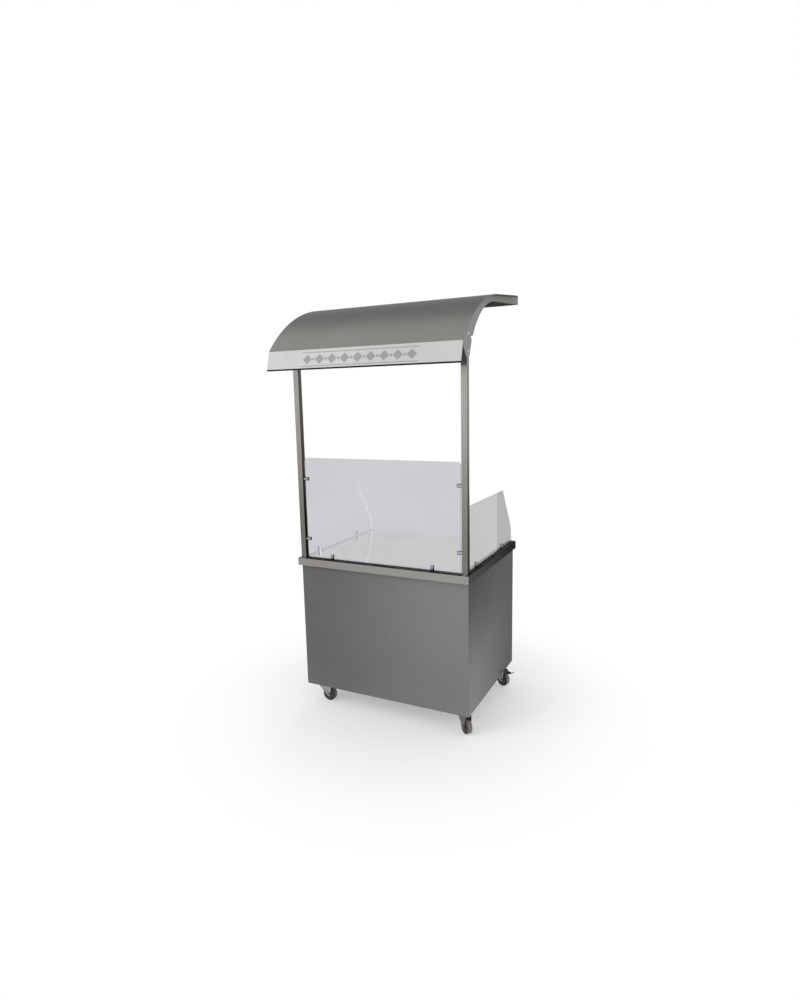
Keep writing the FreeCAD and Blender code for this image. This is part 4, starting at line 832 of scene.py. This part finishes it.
def makeWheel(corner):
    v = wheelValues
    joint = joints[corner + "_wheel_spin"]
    centre, axis = Vector(joint["pos_m"]), Vector(joint["axis"])
    body = corner + "_wheel"

    def buildTyre(shape):
        profile = [(-v["halfWidth"] + v["lip"], v["rimRadius"]), (-v["halfWidth"], v["rimRadius"] + v["lip"])]
        shoulder = v["shoulder"]
        turns = [math.pi / 2 * step / v["arcSteps"] for step in range(v["arcSteps"] + 1)]
        for sign in (-1, 1):
            arc = [(sign * (v["halfWidth"] - shoulder + shoulder * math.cos(turn)),
                    v["tyreRadius"] - shoulder + shoulder * math.sin(turn)) for turn in turns]
            profile += arc if sign < 0 else arc[::-1]
        profile += [(v["halfWidth"], v["rimRadius"] + v["lip"]), (v["halfWidth"] - v["lip"], v["rimRadius"])]
        closedLathe(shape, profile, centre, axis, v["steps"])

    def buildCentre(shape):
        half = [(0.0, v["rimRadius"]), (v["ringHalf"] - v["lip"], v["rimRadius"]),
                (v["ringHalf"], v["rimRadius"] - v["lip"]), (v["ringHalf"], v["ringInner"] + v["lip"]),
                (v["ringHalf"] - v["lip"], v["ringInner"]), (v["webHalf"], v["ringInner"] - 2 * v["lip"]),
                (v["webHalf"], v["boss"] + 2 * v["lip"]), (v["ringHalf"] - v["lip"], v["boss"]),
                (v["ringHalf"], v["bore"])]
        profile = [(-along, radius) for along, radius in reversed(half)] + half[1:]
        closedLathe(shape, profile, centre, axis, v["steps"])
        inner, outer = v["boss"] - v["lip"], v["ringInner"] + v["lip"]
        top = v["ringHalf"] - 3 * v["lip"]
        for rib in range(v["ribs"]):
            spoke = spokeOf(axis, 2 * math.pi * rib / v["ribs"])
            across = axis.cross(spoke)
            for sign in (-1, 1):
                rail = [
                    shape.verts.new(centre + spoke * reach + across * side * v["ribHalf"] + axis * sign * level)
                    for reach in (inner, outer) for side in (-1, 1) for level in (v["webHalf"] - v["lip"], top)]
                for quad in ((0, 1, 3, 2), (4, 5, 7, 6), (0, 1, 5, 4), (2, 3, 7, 6), (1, 3, 7, 5), (0, 2, 6, 4)):
                    shape.faces.new([rail[index] for index in quad])

    def buildCaps(shape):
        for sign in (-1, 1):
            profile = [(v["ringHalf"] - v["lip"], v["boss"] - v["lip"]),
                       (v["bossHalf"] - v["lip"], v["boss"] - v["lip"]),
                       (v["bossHalf"], v["boss"] - 3 * v["lip"]), (v["bossHalf"], v["bore"]),
                       (v["ringHalf"] - v["lip"], v["bore"])]
            closedLathe(shape, profile, centre, axis * sign, v["steps"] // 2)

    tyre = makePiece(corner + "_tyreRing", buildTyre, materials["tyre_rubber"], body)
    tyre.data.materials.append(materials["tyre_wall"])
    for face in tyre.data.polygons:
        if abs(face.normal.dot(axis)) > v["wallShare"] or (face.center - centre).length < v["rimRadius"]:
            face.material_index = 1
    smoothShade(tyre)
    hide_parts(corner + "_caster_wheel")
    smoothShade(makePiece(corner + "_wheelCentre", buildCentre, materials["wheel_hub"], body))
    smoothShade(makePiece(corner + "_hubCaps", buildCaps, materials["hub_cap"], body))


for corner in corners:
    makeWheel(corner)
print("wheels made")


# Small screws: low round heads with a cross recess.
screwValues = {"radius": 0.0034, "rise": 0.0012, "steps": 20, "recess": 0.7, "arm": 0.35, "floor": 0.3,
               "head": ((0.35, 1.0), (0.8, 0.75), (1.0, 0.5)), "angle": 40}  # shares of the rise and radius
hingeScrewValues = {"fromPin": 0.0144, "ends": 0.01, "leafSheet": 0.0015}
panelScrewValues = {"levels": (0.758, 0.571), "fromFront": 0.007}
handleScrewValues = {"fromEnd": 0.009, "bar": 0.004}


def screwHead(shape, place, out):
    v = screwValues
    radius, rise = v["radius"], v["rise"]
    profile = [(-sunk, radius)] + [(rise * up, radius * wide) for up, wide in v["head"]]
    rings = lathe(shape, profile, place, out, v["steps"])
    shape.faces.new(rings[0])
    deep = []
    for index, vertex in enumerate(rings[-1]):
        reach = v["recess"] if index % (v["steps"] // 4) == 0 else v["arm"]
        spoke = vertex.co - place - out * (vertex.co - place).dot(out)
        deep.append(shape.verts.new(place + spoke * reach + out * rise * v["floor"]))
    ringFaces(shape, rings[-1], deep)
    shape.faces.new(deep)


def makeScrews(name, spots, body):
    def build(shape):
        for place, out in spots:
            screwHead(shape, place, out)
    smoothShade(makePiece(name, build, materials["zinc"], body), screwValues["angle"])


def hingeScrews(side, moving):
    v = hingeScrewValues
    pin = Vector(joints[side + "_door_hinge"]["pos_m"])
    low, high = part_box("fixed_hinge_leaves")
    outward = -1 if side == "left" else 1
    x = pin.x + (-outward if moving else outward) * v["fromPin"]
    hinge = leafLength()
    levels = [start + share for start in (low.z, high.z - hinge)
              for share in (v["ends"], hinge / 2, hinge - v["ends"])]
    return [(Vector((x, low.y + v["leafSheet"], z)), Vector((0, 1, 0))) for z in levels]


def leafLength():
    # A hinge's length: the lowest leaf's own height.
    levels = sorted({round(vertex.co.z, 4) for vertex in nodes["fixed_hinge_leaves"].data.vertices})
    gaps = [after - before for before, after in zip(levels, levels[1:])]
    split = gaps.index(max(gaps))
    return levels[split] - levels[0]


def makeAllScrews():
    fixed = hingeScrews("left", False) + hingeScrews("right", False)
    makeScrews("fixedHingeScrews", fixed, "cart")
    low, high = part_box("front_panel")
    spots = []
    for side, x in ((-1, low.x), (1, high.x)):
        for level in panelScrewValues["levels"]:
            spots.append((Vector((x, low.y + panelScrewValues["fromFront"], level)), Vector((side, 0, 0))))
    makeScrews("panelScrews", spots, "cart")
    for side in ("left", "right"):
        spots = hingeScrews(side, True)
        low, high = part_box(side + "_handle")
        for z in (low.z + handleScrewValues["fromEnd"], high.z - handleScrewValues["fromEnd"]):
            spots.append((Vector(((low.x + high.x) / 2, low.y + handleScrewValues["bar"], z)), Vector((0, 1, 0))))
        makeScrews(side + "DoorScrews", spots, side + "_door_leaf")


makeAllScrews()
print("screws made")


# Coach bolts on the ribs: domed heads, which stand in for the frame's bolts.
domeValues = {"rings": 6, "steps": 32}


def buildDomes(shape):
    low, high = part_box("rib_bolts")
    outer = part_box("right_rib")[1].x
    radius = (high.y - low.y) / 2
    rings = domeValues["rings"]
    profile = domeProfile(radius, high.x - outer, [1 - ring / rings for ring in range(rings)])
    for z in (low.z + radius, high.z - radius):
        for side in (-1, 1):
            place = Vector((side * outer, (low.y + high.y) / 2, z))
            cappedLathe(shape, profile, place, Vector((side, 0, 0)), domeValues["steps"])


domes = makePiece("coachBoltDomes", buildDomes, materials["bolt_chrome"], "cart")
smoothShade(domes)
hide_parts("rib_bolts")
print("bolt heads made")


# Set screws in the glass clamps, on the outer side of each glass.
setScrewValues = {"radius": 0.0026, "proud": 0.0006, "rise": 0.017, "clampRadius": 0.01, "socket": 0.0014,
                  "root": 0.003, "edgeShare": 0.6, "topShare": 0.85, "steps": 24}
clampSearch = {"level": 0.0005, "near": 0.02, "upper": 0.05}  # distances from a clamp's glass and foot


def clampSpots():
    # Each clamp's base centre, the way that it points and the way out of its glass.
    low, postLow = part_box("glass_clamps")[0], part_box("right_post")[0]
    frontLow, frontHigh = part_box("front_glass")
    rightLow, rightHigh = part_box("right_glass")
    middle = (frontLow.y + frontHigh.y) / 2
    sideX = (rightLow.x + rightHigh.x) / 2
    near = clampSearch["near"]
    verts = [vertex.co for vertex in nodes["glass_clamps"].data.vertices]
    base = [v for v in verts if abs(v.z - low.z) < clampSearch["level"]]
    up, ahead = Vector((0, 0, 1)), Vector((0, -1, 0))
    spots = []

    def middles(numbers):
        # The middle of each of two clamps, parted at the widest gap.
        numbers = sorted(numbers)
        split = max(range(1, len(numbers)), key=lambda index: numbers[index] - numbers[index - 1])
        return [(group[0] + group[-1]) / 2 for group in (numbers[:split], numbers[split:])]

    for side in (-1, 1):
        front = [v.x for v in base if abs(v.y - middle) < near and v.x * side > 0 and abs(v.x) < postLow.x - near]
        spots.append((Vector(((min(front) + max(front)) / 2, middle, low.z)), up, ahead))
        for y in middles(v.y for v in base if abs(v.x * side - sideX) < near and v.y > frontHigh.y + near):
            spots.append((Vector((side * sideX, y, low.z)), up, Vector((side, 0, 0))))
        for z in middles(v.z for v in verts if v.z > low.z + clampSearch["upper"] and v.x * side > 0):
            spots.append((Vector((side * postLow.x, middle, z)), Vector((-side, 0, 0)), ahead))
    return spots


def buildSetScrews(shape):
    v = setScrewValues
    profile = [(-v["root"], v["radius"]), (v["proud"] * v["edgeShare"], v["radius"]),
               (v["proud"], v["radius"] * v["topShare"]), (v["proud"], v["socket"]), (-v["proud"], v["socket"])]
    for base, along, out in clampSpots():
        cappedLathe(shape, profile, base + along * v["rise"] + out * v["clampRadius"], out, v["steps"])


smoothShade(makePiece("clampSetScrews", buildSetScrews, materials["zinc"], "cart"))
print("set screws made:", len(clampSpots()))


# Floor, lamps and world.
stageValues = {"floorHalf": 14.0, "floorTone": (0.96, 0.96, 0.96, 1.0), "fadeStart": 0.45, "fadeEnd": 1.4,
               "fadeShare": 0.4, "rough": 0.9, "gloss": 0.1}
lampValues = {
    "keyLamp": {"place": (-3.2, -4.2, 4.2), "aim": (0.0, 0.0, 1.1), "size": 3.2, "power": 150.0,
                "mirrored": False},
    "sideLamp": {"place": (4.6, 0.6, 3.0), "aim": (0.0, 0.0, 0.9), "size": 3.0, "power": 28.0,
                 "mirrored": True},
    "rearLamp": {"place": (-1.0, 4.8, 3.4), "aim": (0.0, 0.0, 1.2), "size": 3.0, "power": 60.0,
                 "mirrored": False},
}
worldValues = {"ambient": 0.62, "seen": 1.0}


def makeFloor():
    values = stageValues
    half = values["floorHalf"]
    data = bpy.data.meshes.new("studioFloor")
    data.from_pydata([(-half, -half, 0), (half, -half, 0), (half, half, 0), (-half, half, 0)], [], [(0, 1, 2, 3)])
    floor = bpy.data.objects.new("studioFloor", data)
    scene.collection.objects.link(floor)
    material, tree, shader = startMaterial("paleFloor", {
        "Base Color": values["floorTone"], "Roughness": values["rough"], "Specular IOR Level": values["gloss"]})
    reach = addNode(tree, "ShaderNodeVectorMath", (-700, 0), {0: surfacePlace(tree, (-900, 0))["Object"]},
                    operation="LENGTH").outputs["Value"]
    fade = softStep(tree, reach, values["fadeStart"], values["fadeEnd"], (-500, 0), values["fadeShare"])
    glow = addNode(tree, "ShaderNodeEmission", (-200, -200))
    mix = addNode(tree, "ShaderNodeMixShader", (200, 0), {0: fade, 1: shader.outputs[0], 2: glow.outputs[0]})
    feed(tree, tree.nodes["Material Output"], {"Surface": mix.outputs[0]})
    data.materials.append(material)


def makeLamps():
    for name, values in lampValues.items():
        data = bpy.data.lights.new(name, "AREA")
        data.size = values["size"]
        data.energy = values["power"]
        lamp = bpy.data.objects.new(name, data)
        lamp.location = values["place"]
        aim = Vector(values["aim"]) - Vector(values["place"])
        lamp.rotation_euler = aim.to_track_quat("-Z", "Y").to_euler()
        lamp.visible_glossy = values["mirrored"]
        scene.collection.objects.link(lamp)


def makeWorld():
    world = bpy.data.worlds.new("studioWorld")
    world.use_nodes = True
    scene.world = world
    tree = world.node_tree
    path = addNode(tree, "ShaderNodeLightPath", (-900, 0)).outputs
    seen = calculate(tree, "MAXIMUM", (-650, 100), path["Is Camera Ray"], path["Is Glossy Ray"])
    clear = calculate(tree, "MAXIMUM", (-450, 0), seen, path["Is Transmission Ray"])
    strength = span(tree, clear, worldValues["ambient"], worldValues["seen"], (-250, 0))
    feed(tree, tree.nodes["Background"], {"Color": white, "Strength": strength})


makeFloor()
makeLamps()
makeWorld()
scene.view_settings.view_transform = "Standard"
print("stage set")
